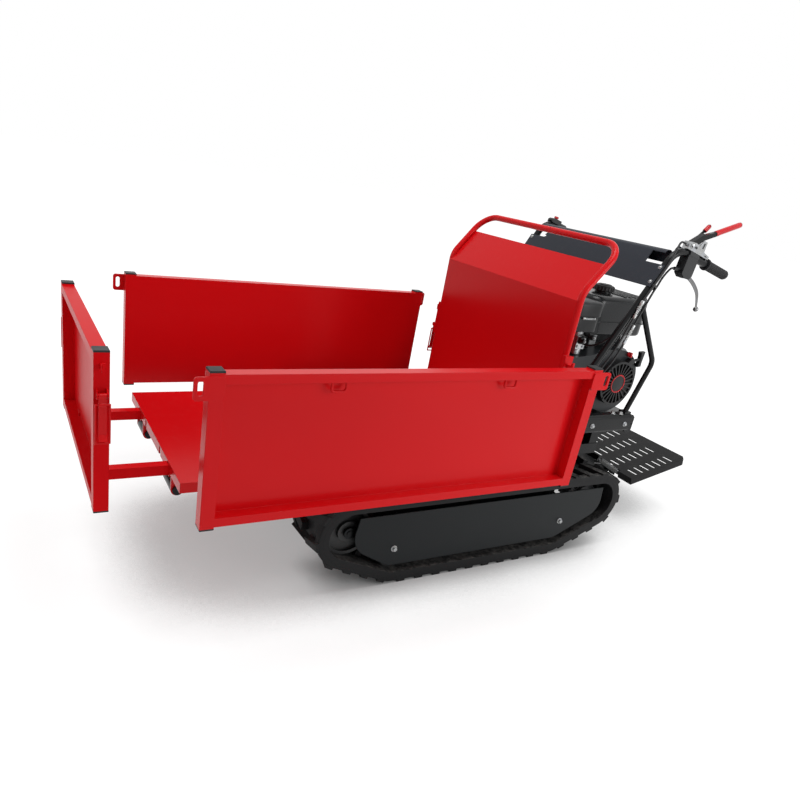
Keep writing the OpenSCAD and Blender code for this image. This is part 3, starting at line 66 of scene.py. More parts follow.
# a place along the handle's grip: s along it, up above its middle
def onGrip(s, up, y):
    x, z = handle["start"]
    return at(x, y, z) + gripDir * s / 1000 + gripUp * up / 1000


# camera at the photograph's viewing angle
view = {
    "eye": (1.21959, 1.56844, 1.05856),
    "right": (-0.875891, 0.458217, 0.151167),
    "look": (-0.479795, -0.793943, -0.373430),
    "lens": 29.595, "sensor": 36,
    "shift": (0.0516, 0.0413),
    "clipStart": 0.02,
}


def makeCamera():
    data = bpy.data.cameras.new("photoCamera")
    data.lens = view["lens"]
    data.sensor_width = view["sensor"]
    data.shift_x, data.shift_y = view["shift"]
    data.clip_start = view["clipStart"]
    cam = bpy.data.objects.new("photoCamera", data)
    scene.collection.objects.link(cam)
    back = -Vector(view["look"]).normalized()
    right = Vector(view["right"]).normalized()
    up = back.cross(right)
    turn = Matrix((right, up, back)).transposed().to_4x4()
    cam.matrix_world = Matrix.Translation(view["eye"]) @ turn
    scene.camera = cam


# shader nodes that floor and finishes share
noiseSpan = (0.3, 0.7)  # where most values of a noise lie


def grain(tree, place, scale, detail=3.0, rough=0.5):
    n = tree.nodes.new("ShaderNodeTexNoise")
    n.inputs["Scale"].default_value = scale
    n.inputs["Detail"].default_value = detail
    n.inputs["Roughness"].default_value = rough
    tree.links.new(place, n.inputs["Vector"])
    return n.outputs["Fac"]


def shades(tree, fac, stops):
    r = tree.nodes.new("ShaderNodeValToRGB")
    while len(r.color_ramp.elements) < len(stops):
        r.color_ramp.elements.new(0.5)
    for e, (pos, rgb) in zip(r.color_ramp.elements, stops):
        e.position = pos
        e.color = (*rgb, 1)
    tree.links.new(fac, r.inputs["Fac"])
    return r.outputs["Color"]


def spread(tree, fac, low, high, span=noiseSpan):
    m = tree.nodes.new("ShaderNodeMapRange")
    for key, value in zip(("From Min", "From Max", "To Min", "To Max"), (*span, low, high)):
        m.inputs[key].default_value = value
    tree.links.new(fac, m.inputs["Value"])
    return m.outputs["Result"]


def combined(tree, operation, a, b):
    m = tree.nodes.new("ShaderNodeMath")
    m.operation = operation
    tree.links.new(a, m.inputs[0])
    tree.links.new(b, m.inputs[1])
    return m.outputs[0]


# a colour socket that turns into a plain colour
def blended(tree, fac, tone, colour):
    m = tree.nodes.new("ShaderNodeMix")
    m.data_type = "RGBA"
    tree.links.new(fac, m.inputs["Factor"])
    tree.links.new(tone, m.inputs[6])
    m.inputs[7].default_value = (*colour, 1)
    return m.outputs[2]


# floor and light
studio = {
    "floorSize": 30, "floorDrop": 0.0005,
    "floorTone": 0.30, "bounceTone": 0.85,
    # shade and contact are the greys of the shadow painted into the floor's glow, by how open it is to the sky
    "shade": ((0.0, 0.30), (0.10, 0.355), (0.49, 0.365), (0.56, 0.52), (0.66, 0.73), (0.80, 0.80)),
    "shadeReach": 0.75,
    "contact": ((0.0, 0.02), (0.30, 0.20), (0.62, 0.62), (0.90, 1.0)),
    "contactReach": 0.11,
    "skySamples": 16,
    "fadeFrom": 0.9, "fadeTo": 2.2,
    "worldGlow": 0.30,
    "aim": (0, 0, 0.4),
    "lamps": {"keyLamp": (86, (0.0, 0.35, 4.2), 2.4),
              "sideLamp": (36, (-1.45, 2.5, 1.35), 1.6),
              "rearLamp": (22, (3.6, -0.6, 2.4), 2.4)},
}


# rays that see the plain white surroundings: the camera's, reflections and what passes through
def whiteRays(tree):
    rays = tree.nodes.new("ShaderNodeLightPath").outputs
    total = rays["Is Camera Ray"]
    for name in ("Is Glossy Ray", "Is Transmission Ray"):
        total = combined(tree, "MAXIMUM", total, rays[name])
    return total


# what these rays see is white, what lights the part is dimmer
def makeWorld():
    world = bpy.data.worlds.new("studioWorld")
    world.use_nodes = True
    tree = world.node_tree
    tree.nodes.clear()
    out = tree.nodes.new("ShaderNodeOutputWorld")
    mix = tree.nodes.new("ShaderNodeMixShader")
    lit = tree.nodes.new("ShaderNodeBackground")
    seen = tree.nodes.new("ShaderNodeBackground")
    for sky in (lit, seen):
        sky.inputs["Color"].default_value = (1, 1, 1, 1)
    lit.inputs["Strength"].default_value = studio["worldGlow"]
    tree.links.new(whiteRays(tree), mix.inputs[0])
    tree.links.new(lit.outputs[0], mix.inputs[1])
    tree.links.new(seen.outputs[0], mix.inputs[2])
    tree.links.new(mix.outputs[0], out.inputs[0])
    scene.world = world


def floorFinish():
    mat = bpy.data.materials.new("studioFloorWhite")
    mat.use_nodes = True
    tree = mat.node_tree
    tree.nodes.clear()
    out = tree.nodes.new("ShaderNodeOutputMaterial")
    add = tree.nodes.new("ShaderNodeAddShader")
    glow = tree.nodes.new("ShaderNodeEmission")
    skin = tree.nodes.new("ShaderNodeBsdfDiffuse")
    # a painted shadow: near the part, the floor's white glow dims where the part hides the sky from the floor
    paintedShadows = []
    for stops, reach in (("shade", "shadeReach"), ("contact", "contactReach")):
        near = tree.nodes.new("ShaderNodeAmbientOcclusion")
        near.samples = studio["skySamples"]
        near.inputs["Distance"].default_value = studio[reach]
        greys = [(pos, (tone, tone, tone)) for pos, tone in studio[stops]]
        paintedShadows.append(shades(tree, near.outputs["AO"], greys))
    # away from it, where the lamps don't reach, the floor turns plain white
    place = tree.nodes.new("ShaderNodeTexCoord")
    far = tree.nodes.new("ShaderNodeVectorMath")
    far.operation = "LENGTH"
    tree.links.new(place.outputs["Object"], far.inputs[0])
    fade = tree.nodes.new("ShaderNodeMapRange")
    fade.interpolation_type = "SMOOTHSTEP"
    fade.inputs["From Min"].default_value = studio["fadeFrom"]
    fade.inputs["From Max"].default_value = studio["fadeTo"]
    tree.links.new(combined(tree, "MULTIPLY", *paintedShadows), fade.inputs["To Min"])
    tree.links.new(far.outputs["Value"], fade.inputs["Value"])
    seen = whiteRays(tree)
    tone = spread(tree, seen, studio["bounceTone"], studio["floorTone"], (0, 1))
    tree.links.new(tone, skin.inputs["Color"])
    strength = combined(tree, "MULTIPLY", seen, fade.outputs["Result"])
    tree.links.new(strength, glow.inputs["Strength"])
    tree.links.new(glow.outputs[0], add.inputs[0])
    tree.links.new(skin.outputs[0], add.inputs[1])
    tree.links.new(add.outputs[0], out.inputs[0])
    return mat


def makeFloor():
    mesh = bpy.data.meshes.new("studioFloor")
    bm = bmesh.new()
    bmesh.ops.create_grid(bm, x_segments=1, y_segments=1, size=studio["floorSize"])
    bmesh.ops.translate(bm, verts=bm.verts, vec=(0, 0, -studio["floorDrop"]))
    bm.to_mesh(mesh)
    bm.free()
    floor = bpy.data.objects.new("studioFloor", mesh)
    scene.collection.objects.link(floor)
    mesh.materials.append(floorFinish())


def makeLamps():
    for name, (power, place, size) in studio["lamps"].items():
        data = bpy.data.lights.new(name, "AREA")
        data.shape = "DISK"
        data.energy = power
        data.size = size
        lamp = bpy.data.objects.new(name, data)
        scene.collection.objects.link(lamp)
        lamp.location = place
        aim = Vector(studio["aim"]) - Vector(place)
        lamp.rotation_euler = aim.to_track_quat("-Z", "Y").to_euler()


makeCamera()
makeWorld()
makeFloor()
makeLamps()
scene.view_settings.view_transform = "Standard"
print("camera and studio set")


# finishes
def startFinish(name):
    mat = bpy.data.materials.new(name)
    mat.use_nodes = True
    tree = mat.node_tree
    shader = tree.nodes["Principled BSDF"]
    place = tree.nodes.new("ShaderNodeTexCoord").outputs["Object"]
    return mat, tree, shader, place


# bump on a surface whose edges look rounded by a small radius
def relief(tree, shader, height, strength, distance, edge):
    b = tree.nodes.new("ShaderNodeBump")
    b.inputs["Strength"].default_value = strength
    b.inputs["Distance"].default_value = distance
    tree.links.new(height, b.inputs["Height"])
    soft = tree.nodes.new("ShaderNodeBevel")
    soft.samples = 4
    soft.inputs["Radius"].default_value = edge
    tree.links.new(soft.outputs[0], b.inputs["Normal"])
    tree.links.new(b.outputs[0], shader.inputs["Normal"])


# dust that settles where a face looks up
def settled(tree, fleck, low, high):
    g = tree.nodes.new("ShaderNodeNewGeometry")
    s = tree.nodes.new("ShaderNodeSeparateXYZ")
    tree.links.new(g.outputs["Normal"], s.inputs[0])
    upward = spread(tree, s.outputs["Z"], 0, 1, (low, high))
    return combined(tree, "MULTIPLY", fleck, upward)


def paintFinish(name, colour, deep, rough, peel, edge, dust, gloss=0.25):
    mat, tree, shader, place = startFinish(name)
    cloud = grain(tree, place, 2.4, detail=2)
    tone = shades(tree, cloud, [(0.3, deep), (0.7, colour)])
    fleck = spread(tree, grain(tree, place, 46, detail=6, rough=0.7), 0, dust, (0.52, 0.80))
    tone = blended(tree, settled(tree, fleck, 0.2, 0.9), tone, (0.33, 0.30, 0.27))
    tree.links.new(tone, shader.inputs["Base Color"])
    wipe = grain(tree, place, 24, detail=5, rough=0.6)
    tree.links.new(spread(tree, wipe, rough - 0.012, rough + 0.015), shader.inputs["Roughness"])
    shader.inputs["Specular IOR Level"].default_value = gloss
    relief(tree, shader, grain(tree, place, 420, detail=2), peel, distance=0.0006, edge=edge)
    return mat


def platedFinish(name, colour, rough):
    mat, tree, shader, place = startFinish(name)
    cloud = grain(tree, place, 60, detail=5, rough=0.65)
    warm = tuple(c * k for c, k in zip(colour, (0.92, 0.88, 0.78)))
    tree.links.new(shades(tree, cloud, [(0.32, warm), (0.68, colour)]), shader.inputs["Base Color"])
    shader.inputs["Metallic"].default_value = 1.0
    fine = grain(tree, place, 240, detail=4, rough=0.6)
    tree.links.new(spread(tree, fine, rough - 0.08, rough + 0.1), shader.inputs["Roughness"])
    relief(tree, shader, fine, strength=0.06, distance=0.0003, edge=0.0006)
    return mat


def mouldedFinish(name, colour, rough, grainScale=900, depth=0.12):
    mat, tree, shader, place = startFinish(name)
    cloud = grain(tree, place, 14, detail=4, rough=0.6)
    light = tuple(c * 1.25 + 0.001 for c in colour)
    tree.links.new(shades(tree, cloud, [(0.35, colour), (0.75, light)]), shader.inputs["Base Color"])
    tree.links.new(spread(tree, cloud, rough - 0.07, rough + 0.08), shader.inputs["Roughness"])
    shader.inputs["Specular IOR Level"].default_value = 0.3
    relief(tree, shader, grain(tree, place, grainScale), depth, distance=0.0004, edge=0.0008)
    return mat


def castFinish(name, colour, rough, metallic):
    mat, tree, shader, place = startFinish(name)
    cloud = grain(tree, place, 26, detail=5, rough=0.62)
    dark = tuple(c * 0.55 for c in colour)
    tree.links.new(shades(tree, cloud, [(0.3, dark), (0.62, colour)]), shader.inputs["Base Color"])
    shader.inputs["Metallic"].default_value = metallic
    tree.links.new(spread(tree, cloud, rough + 0.1, rough - 0.06), shader.inputs["Roughness"])
    pits = grain(tree, place, 520, detail=4, rough=0.6)
    relief(tree, shader, pits, strength=0.28, distance=0.0006, edge=0.001)
    return mat


def trackFinish(name):
    mat, tree, shader, place = startFinish(name)
    cloud = grain(tree, place, 22, detail=5, rough=0.65)
    tone = shades(tree, cloud, [(0.3, (0.0040, 0.0041, 0.0045)), (0.7, (0.0085, 0.0086, 0.0092))])
    fleck = spread(tree, grain(tree, place, 70, detail=7, rough=0.72), 0.0, 0.55, (0.40, 0.72))
    tone = blended(tree, settled(tree, fleck, 0.55, 0.98), tone, (0.17, 0.165, 0.155))
    tree.links.new(tone, shader.inputs["Base Color"])
    tree.links.new(spread(tree, cloud, 0.52, 0.74), shader.inputs["Roughness"])
    shader.inputs["Specular IOR Level"].default_value = 0.20
    pits = grain(tree, place, 380, detail=4, rough=0.6)
    relief(tree, shader, pits, strength=0.25, distance=0.0006, edge=0.0016)
    return mat


finishes = {
    "red_paint": paintFinish("redPowderCoat", (0.660, 0.0050, 0.0080), (0.635, 0.0042, 0.0070),
                             rough=0.25, peel=0.012, edge=0.0016, dust=0.03, gloss=0.14),
    "black_paint": paintFinish("blackPowderCoat", (0.0075, 0.0080, 0.0090), (0.0055, 0.0060, 0.0065),
                               rough=0.26, peel=0.03, edge=0.0012, dust=0.04, gloss=0.18),
    "cover_paint": paintFinish("trackCoverCoat", (0.0068, 0.0086, 0.0096), (0.0056, 0.0072, 0.0080),
                               rough=0.40, peel=0.03, edge=0.0034, dust=0.08, gloss=0.17),
    "plate_black": paintFinish("footplateCoat", (0.0040, 0.0040, 0.0045), (0.0030, 0.0030, 0.0034),
                               rough=0.42, peel=0.08, edge=0.0010, dust=0.05, gloss=0.11),
    "panel_grey": paintFinish("crossPanelCoat", (0.030, 0.035, 0.046), (0.025, 0.029, 0.038),
                              rough=0.36, peel=0.04, edge=0.0010, dust=0.05, gloss=0.18),
    "zinc": platedFinish("zincPlate", (0.36, 0.375, 0.40), rough=0.28),
    "black_zinc": platedFinish("blackZinc", (0.018, 0.019, 0.021), rough=0.40),
    "dull_red": paintFinish("redPanelCoat", (0.700, 0.0050, 0.0085), (0.670, 0.0045, 0.0075),
                            rough=0.30, peel=0.012, edge=0.0016, dust=0.03, gloss=0.03),
    "bright_chrome": platedFinish("brightChrome", (0.20, 0.205, 0.22), rough=0.14),
    "spring_steel": platedFinish("springSteel", (0.15, 0.155, 0.165), rough=0.32),
    "track_rubber": trackFinish("trackRubber"),
    "grip_rubber": mouldedFinish("gripRubber", (0.012, 0.012, 0.013), rough=0.58, grainScale=1100, depth=0.20),
    "black_plastic": mouldedFinish("blackPlastic", (0.014, 0.015, 0.016), rough=0.42),
    "cap_plastic": mouldedFinish("capPlastic", (0.0055, 0.0055, 0.0062), rough=0.46),
    "cable_black": mouldedFinish("cableSheath", (0.012, 0.012, 0.013), rough=0.40, grainScale=700, depth=0.06),
    "red_plastic": mouldedFinish("redPlastic", (0.50, 0.010, 0.015), rough=0.32, depth=0.012),
    "engine_alloy": castFinish("castAlloy", (0.20, 0.205, 0.21), rough=0.42, metallic=0.85),
    "bright_alloy": castFinish("brightCastAlloy", (0.55, 0.56, 0.57), rough=0.34, metallic=0.9),
    "engine_black": paintFinish("engineEnamel", (0.021, 0.024, 0.027), (0.016, 0.018, 0.020),
                                rough=0.34, peel=0.06, edge=0.0010, dust=0.06),
    "tank_black": paintFinish("tankEnamel", (0.0105, 0.0120, 0.0135), (0.0085, 0.0095, 0.0105),
                              rough=0.24, peel=0.03, edge=0.0014, dust=0.05),
    "heat_black": paintFinish("heatPaint", (0.030, 0.030, 0.031), (0.018, 0.018, 0.018),
                              rough=0.58, peel=0.20, edge=0.0010, dust=0.10),
    "gear_iron": castFinish("gearCasting", (0.050, 0.052, 0.055), rough=0.46, metallic=0.0),
    "wheel_black": castFinish("wheelCasting", (0.0075, 0.0080, 0.0085), rough=0.48, metallic=0.0),
}


# smooth shading for faces that meet at a shallow angle, on a merged mesh
sharpAngle = math.radians(28)
mergeDistance = 0.00001


def makeShadeGroup():
    group = bpy.data.node_groups.new("shadeByAngle", "GeometryNodeTree")
    for way in ("INPUT", "OUTPUT"):
        group.interface.new_socket(name="Geometry", in_out=way, socket_type="NodeSocketGeometry")
    start = group.nodes.new("NodeGroupInput")
    end = group.nodes.new("NodeGroupOutput")
    merge = group.nodes.new("GeometryNodeMergeByDistance")
    merge.inputs["Distance"].default_value = mergeDistance
    faces = group.nodes.new("GeometryNodeSetShadeSmooth")
    edges = group.nodes.new("GeometryNodeSetShadeSmooth")
    edges.domain = "EDGE"
    edges.inputs["Shade Smooth"].default_value = False
    angle = group.nodes.new("GeometryNodeInputMeshEdgeAngle")
    sharp = group.nodes.new("ShaderNodeMath")
    sharp.operation = "GREATER_THAN"
    sharp.inputs[1].default_value = sharpAngle
    group.links.new(start.outputs[0], merge.inputs["Geometry"])
    group.links.new(merge.outputs[0], faces.inputs["Geometry"])
    group.links.new(faces.outputs[0], edges.inputs["Geometry"])
    group.links.new(angle.outputs["Unsigned Angle"], sharp.inputs[0])
    group.links.new(sharp.outputs[0], edges.inputs["Selection"])
    group.links.new(edges.outputs[0], end.inputs[0])
    return group


shadeGroup = makeShadeGroup()


def shadeByAngle(obj):
    obj.modifiers.new("shadeByAngle", "NODES").node_group = shadeGroup


# nodes whose coat differs from that of their slot
special = {"tip_hinge_pins": "black_zinc", "track_tensioners": "black_zinc", "front_panel": "dull_red",
           "recoil_cover": "cap_plastic"}


def dressNodes():
    for name, obj in nodes.items():
        finish = special.get(name, obj.data.materials[0].name.split(".")[0])
        for slot in obj.material_slots:
            slot.link = "OBJECT"
            slot.material = finishes[finish]
        shadeByAngle(obj)


dressNodes()
print("finishes on", len(nodes), "nodes")


# a finished bmesh as a named piece that rides on a body
def addPiece(name, bm, finish, body, smooth=True):
    bmesh.ops.recalc_face_normals(bm, faces=bm.faces)
    mesh = bpy.data.meshes.new(name)
    bm.to_mesh(mesh)
    bm.free()
    obj = bpy.data.objects.new(name, mesh)
    scene.collection.objects.link(obj)
    mesh.materials.append(finishes[finish])
    if smooth:
        for p in mesh.polygons:
            p.use_smooth = True
        shadeByAngle(obj)
    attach(obj, body)
    return obj


# a turning matrix whose z points along a direction
def facing(place, direction, side=None):
    z = Vector(direction).normalized()
    x = Vector(side).normalized() if side else z.orthogonal().normalized()
    y = z.cross(x).normalized()
    x = y.cross(z).normalized()
    return Matrix.Translation(place) @ Matrix((x, y, z)).transposed().to_4x4()


# a profile of (radius, height) spun round z and set in its place
def turned(bm, profile, steps, where=None):
    before = set(bm.verts)
    verts = [bm.verts.new((r, 0, h)) for r, h in profile]
    edges = [bm.edges.new(pair) for pair in zip(verts, verts[1:])]
    bmesh.ops.spin(bm, geom=verts + edges, cent=(0, 0, 0), axis=(0, 0, 1), angle=math.tau,
                   steps=steps, use_merge=True, use_duplicate=False)
    bmesh.ops.remove_doubles(bm, verts=bm.verts, dist=tiny)
    if where:
        bmesh.ops.transform(bm, matrix=where, verts=[v for v in bm.verts if v not in before])


def turnedPiece(name, profile, where, finish, body, steps):
    bm = bmesh.new()
    turned(bm, profile, steps, where)
    return addPiece(name, bm, finish, body)


def roundEdges(bm, edges, offset, segments):
    return bmesh.ops.bevel(bm, geom=edges, offset=offset, segments=segments, profile=0.5, affect="EDGES",
                           material=-1)["verts"]


# box between two corners, with rounded edges
def addBlock(bm, low, high, bevel=0.0, segments=2):
    low, high = Vector(low), Vector(high)
    made = bmesh.ops.create_cube(bm, size=1)["verts"]
    bmesh.ops.scale(bm, vec=high - low, verts=made)
    bmesh.ops.translate(bm, vec=(low + high) / 2, verts=made)
    if bevel:
        made = roundEdges(bm, list({e for v in made for e in v.link_edges}), bevel, segments)
    return made


# prism or cone with its middle on z = 0, set in its place
def addCone(bm, segments, low, high, depth, where):
    made = bmesh.ops.create_cone(bm, cap_ends=True, segments=segments, radius1=low, radius2=high,
                                 depth=depth)["verts"]
    bmesh.ops.transform(bm, matrix=where, verts=made)
    return made


def addBall(bm, radius, scale, place, around, along):
    made = bmesh.ops.create_uvsphere(bm, u_segments=around, v_segments=along, radius=radius)["verts"]
    bmesh.ops.scale(bm, vec=scale, verts=made)
    bmesh.ops.translate(bm, vec=place, verts=made)
    return made


def lifted(height):
    return Matrix.Translation((0, 0, height))


# smooth line through given points
def smoothLine(points, steps=6):
    pts = [Vector(p) for p in points]
    ends = [pts[0] * 2 - pts[1]] + pts + [pts[-1] * 2 - pts[-2]]
    line = []
    for i in range(1, len(ends) - 2):
        a, b, c, d = ends[i - 1:i + 3]
        for k in range(steps):
            t = k / steps
            line.append(0.5 * ((2 * b) + (c - a) * t + (2 * a - 5 * b + 4 * c - d) * t * t
                               + (3 * b - a - 3 * c + d) * t ** 3))
    line.append(pts[-1])
    return line


# round curve along a line, whose radius may change from point to point
def lineCurve(name, line, radius, sides, widths=None):
    data = bpy.data.curves.new(name, "CURVE")
    data.dimensions = "3D"
    data.bevel_depth = radius
    data.bevel_resolution = sides
    data.use_fill_caps = True
    spline = data.splines.new("POLY")
    spline.points.add(len(line) - 1)
    spline.use_smooth = True
    for p, v, width in zip(spline.points, line, widths or [1] * len(line)):
        p.co = (*v, 1)
        p.radius = width
    obj = bpy.data.objects.new(name, data)
    scene.collection.objects.link(obj)
    return obj


# the mesh of a curve that isn't kept
def meshOf(curve):
    mesh = bpy.data.meshes.new_from_object(curve.evaluated_get(bpy.context.evaluated_depsgraph_get()))
    bpy.data.objects.remove(curve)
    return mesh


# control cables, along the drawn routes, from their stops on the handle
cables = {
    "drive": [(-546, 275, 995), (-536, 276.5, 995.5), (-524, 281, 990), (-512, 286.5, 975), (-500, 290, 953),
              (-488, 291.5, 928), (-462, 291.5, 880), (-432, 291.5, 824), (-414, 291.5, 772), (-394, 291.5, 720),
              (-376, 289, 670), (-358, 280, 620), (-345, 264, 570), (-338, 247, 515), (-338, 237, 460),
              (-338, 230, 415), (-346, 210, 365), (-362, 178, 343), (-385, 142, 331), (-412, 104, 325),
              (-432, 87, 322), (-448, 86, 322)],
    "steer": [(-533, 275, 921), (-525, 275.5, 918), (-514, 277, 909), (-502, 279.5, 898), (-491, 282.5, 886),
              (-478, 286.5, 868), (-464, 289.5, 848), (-446, 290, 803), (-427, 290, 752), (-407, 290, 694),
              (-388, 284, 635), (-370, 262, 570), (-356, 244, 510), (-348, 235, 455), (-348, 233, 415),
              (-354, 216, 365), (-370, 184, 342), (-395, 146, 330), (-420, 112, 324), (-436, 99, 322),
              (-448, 98, 322)],
    "throttle": [(-570, 246, 979), (-562, 247, 974), (-556, 248, 963), (-548, 250, 942), (-530, 254, 912),
                 (-500, 256, 868), (-465, 256, 812), (-440, 252, 765), (-424, 240, 718), (-412, 212, 678),
                 (-403, 182, 658), (-394, 162, 655), (-393, 148, 655)],
    "driveStop": (24, 22, 275), "steerStop": (27, -51, 275), "throttleStop": (50, 12.5, 246),
    "driveAdjuster": 7, "steerAdjuster": 8,  # the point of the route where each starts
    "radius": 0.003, "sides": 6,
}


def makeCable(name, start, route):
    line = smoothLine([start] + route)
    cable = lineCurve(name, line, cables["radius"], cables["sides"])
    cable.data.materials.append(finishes["cable_black"])
    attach(cable, "chassis")
    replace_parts(cable, "control_cables")


# threaded adjuster with two hexagon nuts and a plain sleeve at each end, along a straight of a cable
adjuster = {
    "sleeve": ((0.0031, 0), (0.0050, 0), (0.0053, 0.001), (0.0053, 0.013), (0.0048, 0.015), (0.0041, 0.016)),
    "end": ((0.0041, 0.014), (0.0050, 0.013), (0.0050, 0.003), (0.0031, 0)),  # heights below the far end
    "threadFrom": 0.016, "sleeves": 0.030, "pitch": 0.0013, "root": 0.0039, "crest": 0.0042,
    "nuts": (0.0205, 0.0265), "nutRadius": 0.0057, "nutHeight": 0.0045, "steps": 24,
}


def makeAdjuster(name, a, b):
    length = (b - a).length
    pitch, steps, nut = adjuster["pitch"], adjuster["steps"], adjuster["nutRadius"]
    thread = []
    for i in range(int((length - adjuster["sleeves"]) / pitch)):
        h = adjuster["threadFrom"] + i * pitch
        thread += [(adjuster["root"], h), (adjuster["crest"], h + pitch / 2)]
    bm = bmesh.new()
    turned(bm, adjuster["sleeve"], steps)
    turned(bm, thread, steps)
    turned(bm, [(r, length - h) for r, h in adjuster["end"]], steps)
    for h in adjuster["nuts"]:
        addCone(bm, 6, nut, nut, adjuster["nutHeight"], lifted(h))
    bmesh.ops.transform(bm, matrix=facing(a, b - a), verts=bm.verts)
    addPiece(name, bm, "zinc", "chassis")


def makeCables():
    drive = [at(*p) for p in cables["drive"]]
    makeCable("driveCable", onGrip(*cables["driveStop"]), drive)
    s, up, stopY = cables["steerStop"]
    for side, name in ((1, "leftSteeringCable"), (-1, "rightSteeringCable")):
        route = [at(x, y * side, z) for x, y, z in cables["steer"]]
        makeCable(name, onGrip(s, up, stopY * side), route)
        first = cables["steerAdjuster"]
        makeAdjuster(name + "Adjuster", route[first], route[first + 1])
    makeCable("throttleCable", onGrip(*cables["throttleStop"]), [at(*p) for p in cables["throttle"]])
    first = cables["driveAdjuster"]
    makeAdjuster("driveCableAdjuster", drive[first], drive[first + 1])


makeCables()
print("cables laid")


# tension spring of the footplate, close wound with straight ends
spring = {"top": (-655, 130, 232), "low": (-805, 130, 155), "radius": 0.008, "wire": 0.0014, "sides": 3,
          "curls": 24, "perCurl": 20, "ease": 14, "lead": 0.022, "neck": 0.006, "end": 0.004}


def makeSpring():
    top, low = at(*spring["top"]), at(*spring["low"])
    lead, ease = spring["lead"], spring["ease"]
    d = (low - top).normalized()
    u = Vector((0, 1, 0))
    v = d.cross(u)
    coil = (low - top).length - 2 * lead
    steps = spring["perCurl"] * spring["curls"]
    line = [top + d * spring["end"], top + d * (lead - spring["neck"])]
    for i in range(steps + 1):
        a = math.tau * i / spring["perCurl"]
        r = spring["radius"] * min(1, i / ease, (steps - i) / ease)
        line.append(top + d * (lead + coil * i / steps) + u * (r * math.cos(a)) + v * (r * math.sin(a)))
    line += [low - d * (lead - spring["neck"]), low - d * spring["end"]]
    name = "footplateSpringCoil"
    mesh = meshOf(lineCurve(name, line, spring["wire"], spring["sides"]))
    mesh.materials.append(finishes["spring_steel"])
    obj = bpy.data.objects.new(name, mesh)
    scene.collection.objects.link(obj)
    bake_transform(obj)
    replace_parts(obj, "footplate_spring")


makeSpring()
print("spring wound")


# ribbed grips on the handle ends
grips = {"start": 151.1, "length": 0.114, "bore": 0.0112, "flange": 0.0175, "radius": 0.0145, "valley": 0.0131,
         "rib": 0.0048, "ribStep": 0.0008, "ribsFrom": 0.010, "plainEnd": 0.012, "steps": 56}


def makeGrips():
    flange, high, low = grips["flange"], grips["radius"], grips["valley"]
    end, step = grips["length"], grips["ribStep"]
    profile = [(grips["bore"], 0), (flange - 0.001, 0), (flange, 0.001), (flange, 0.005), (flange - 0.001, 0.006),
               (high, 0.0068)]
    h = grips["ribsFrom"]
    while h < end - grips["plainEnd"]:
        profile += [(high, h), (low, h + step), (low, h + 2 * step), (high, h + 3 * step)]
        h += grips["rib"]
    profile += [(high, end - 0.005), (high - 0.0012, end - 0.0018), (0.0115, end - 0.0003), (0.004, end), (0.0, end)]
    for side, name in ((1, "leftRibbedGrip"), (-1, "rightRibbedGrip")):
        where = facing(onGrip(grips["start"], 0, handle["y"] * side), gripDir, (0, 1, 0))
        obj = turnedPiece(name, profile, where, "grip_rubber", "chassis", grips["steps"])
        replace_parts(obj, "handle_grips")


makeGrips()

# dipped red sleeve on the drive lever and red cap on the throttle lever
sleeves = {
    "driveLeverSleeve": (onGrip(132, 87, 275), onGrip(221, 144, 275), 0.0083, "left_drive_lever"),
    "throttleLeverCap": (at(-658, 249.5, 1034), at(-672, 249.5, 1049), 0.0066, "throttle_lever"),
}


def makeSleeves():
    for name, (a, b, radius, body) in sleeves.items():
        length = (b - a).length
        profile = [(radius - 0.0015, -0.002), (radius - 0.0003, -0.0016), (radius, 0.0005), (radius, length * 0.5),
                   (radius, length - 0.004), (radius - 0.0012, length + 0.0005), (radius * 0.55, length + 0.0032),
                   (0, length + 0.004)]
        turnedPiece(name, profile, facing(a, b - a, (0, 1, 0)), "red_plastic", body, 40)


makeSleeves()
print("handle dressed")

# recoil starter: red ring, domed centre and rim screws
recoil = {"place": (-565, 190, 533), "boss": 0.031, "ring": 0.0022, "steps": 64,
          "screws": 4, "screwAt": 0.0695, "screwSunk": 0.0002, "screwRadius": 0.0026, "screwHeight": 0.003}


# hexagon screw head on its washer
def screwHead(bm, place, axis, radius, height=0.004):
    made = addCone(bm, 6, radius, radius * 0.94, height, lifted(height / 2))
    made += addCone(bm, 20, radius * 1.45, radius * 1.35, height * 0.3, lifted(height * 0.15))
    bmesh.ops.transform(bm, matrix=facing(place, axis), verts=made)


def makeRecoil():
    middle = at(*recoil["place"])
    where = facing(middle, (0, 1, 0))
    r, t = recoil["boss"], recoil["ring"]
    ring = [(r - 2 * t, -0.0008), (r - 2 * t, 0.0008), (r - 1.6 * t, 0.0019), (r - t, 0.0022), (r - 0.4 * t, 0.0019),
            (r, 0.0008), (r, -0.0008)]
    turnedPiece("recoilRedRing", ring, where, "red_plastic", "chassis", recoil["steps"])
    dome = [(r - 2 * t, -0.0005), (r - 2.1 * t, 0.0006), (r * 0.6, 0.0016), (r * 0.3, 0.0021), (0, 0.0022)]
    turnedPiece("recoilCentreCap", dome, where, "cap_plastic", "chassis", recoil["steps"])
    bm = bmesh.new()
    for k in range(recoil["screws"]):
        a = math.tau * (k + 0.5) / recoil["screws"]
        spot = middle + Vector((math.cos(a), 0, math.sin(a))) * recoil["screwAt"]
        spot.y -= recoil["screwSunk"]
        screwHead(bm, spot, (0, 1, 0), recoil["screwRadius"], recoil["screwHeight"])
    addPiece("recoilScrews", bm, "black_plastic", "chassis")


makeRecoil()
print("recoil dressed")


# tie that holds the two cables to the near handle tube: loops of (radius, middle, segments)
tie = {"middle": (-462.7, 275, 863.6), "width": 0.006,
       "loops": ((0.0122, (0, 0), 32), (0.0044, (0.004, 0.0155), 16), (0.0044, (-0.006, 0.0135), 16)),
       "tail": ((-0.0245, -0.003, 0.0005), (-0.0105, 0.003, 0.0055)), "tailBevel": 0.0008}


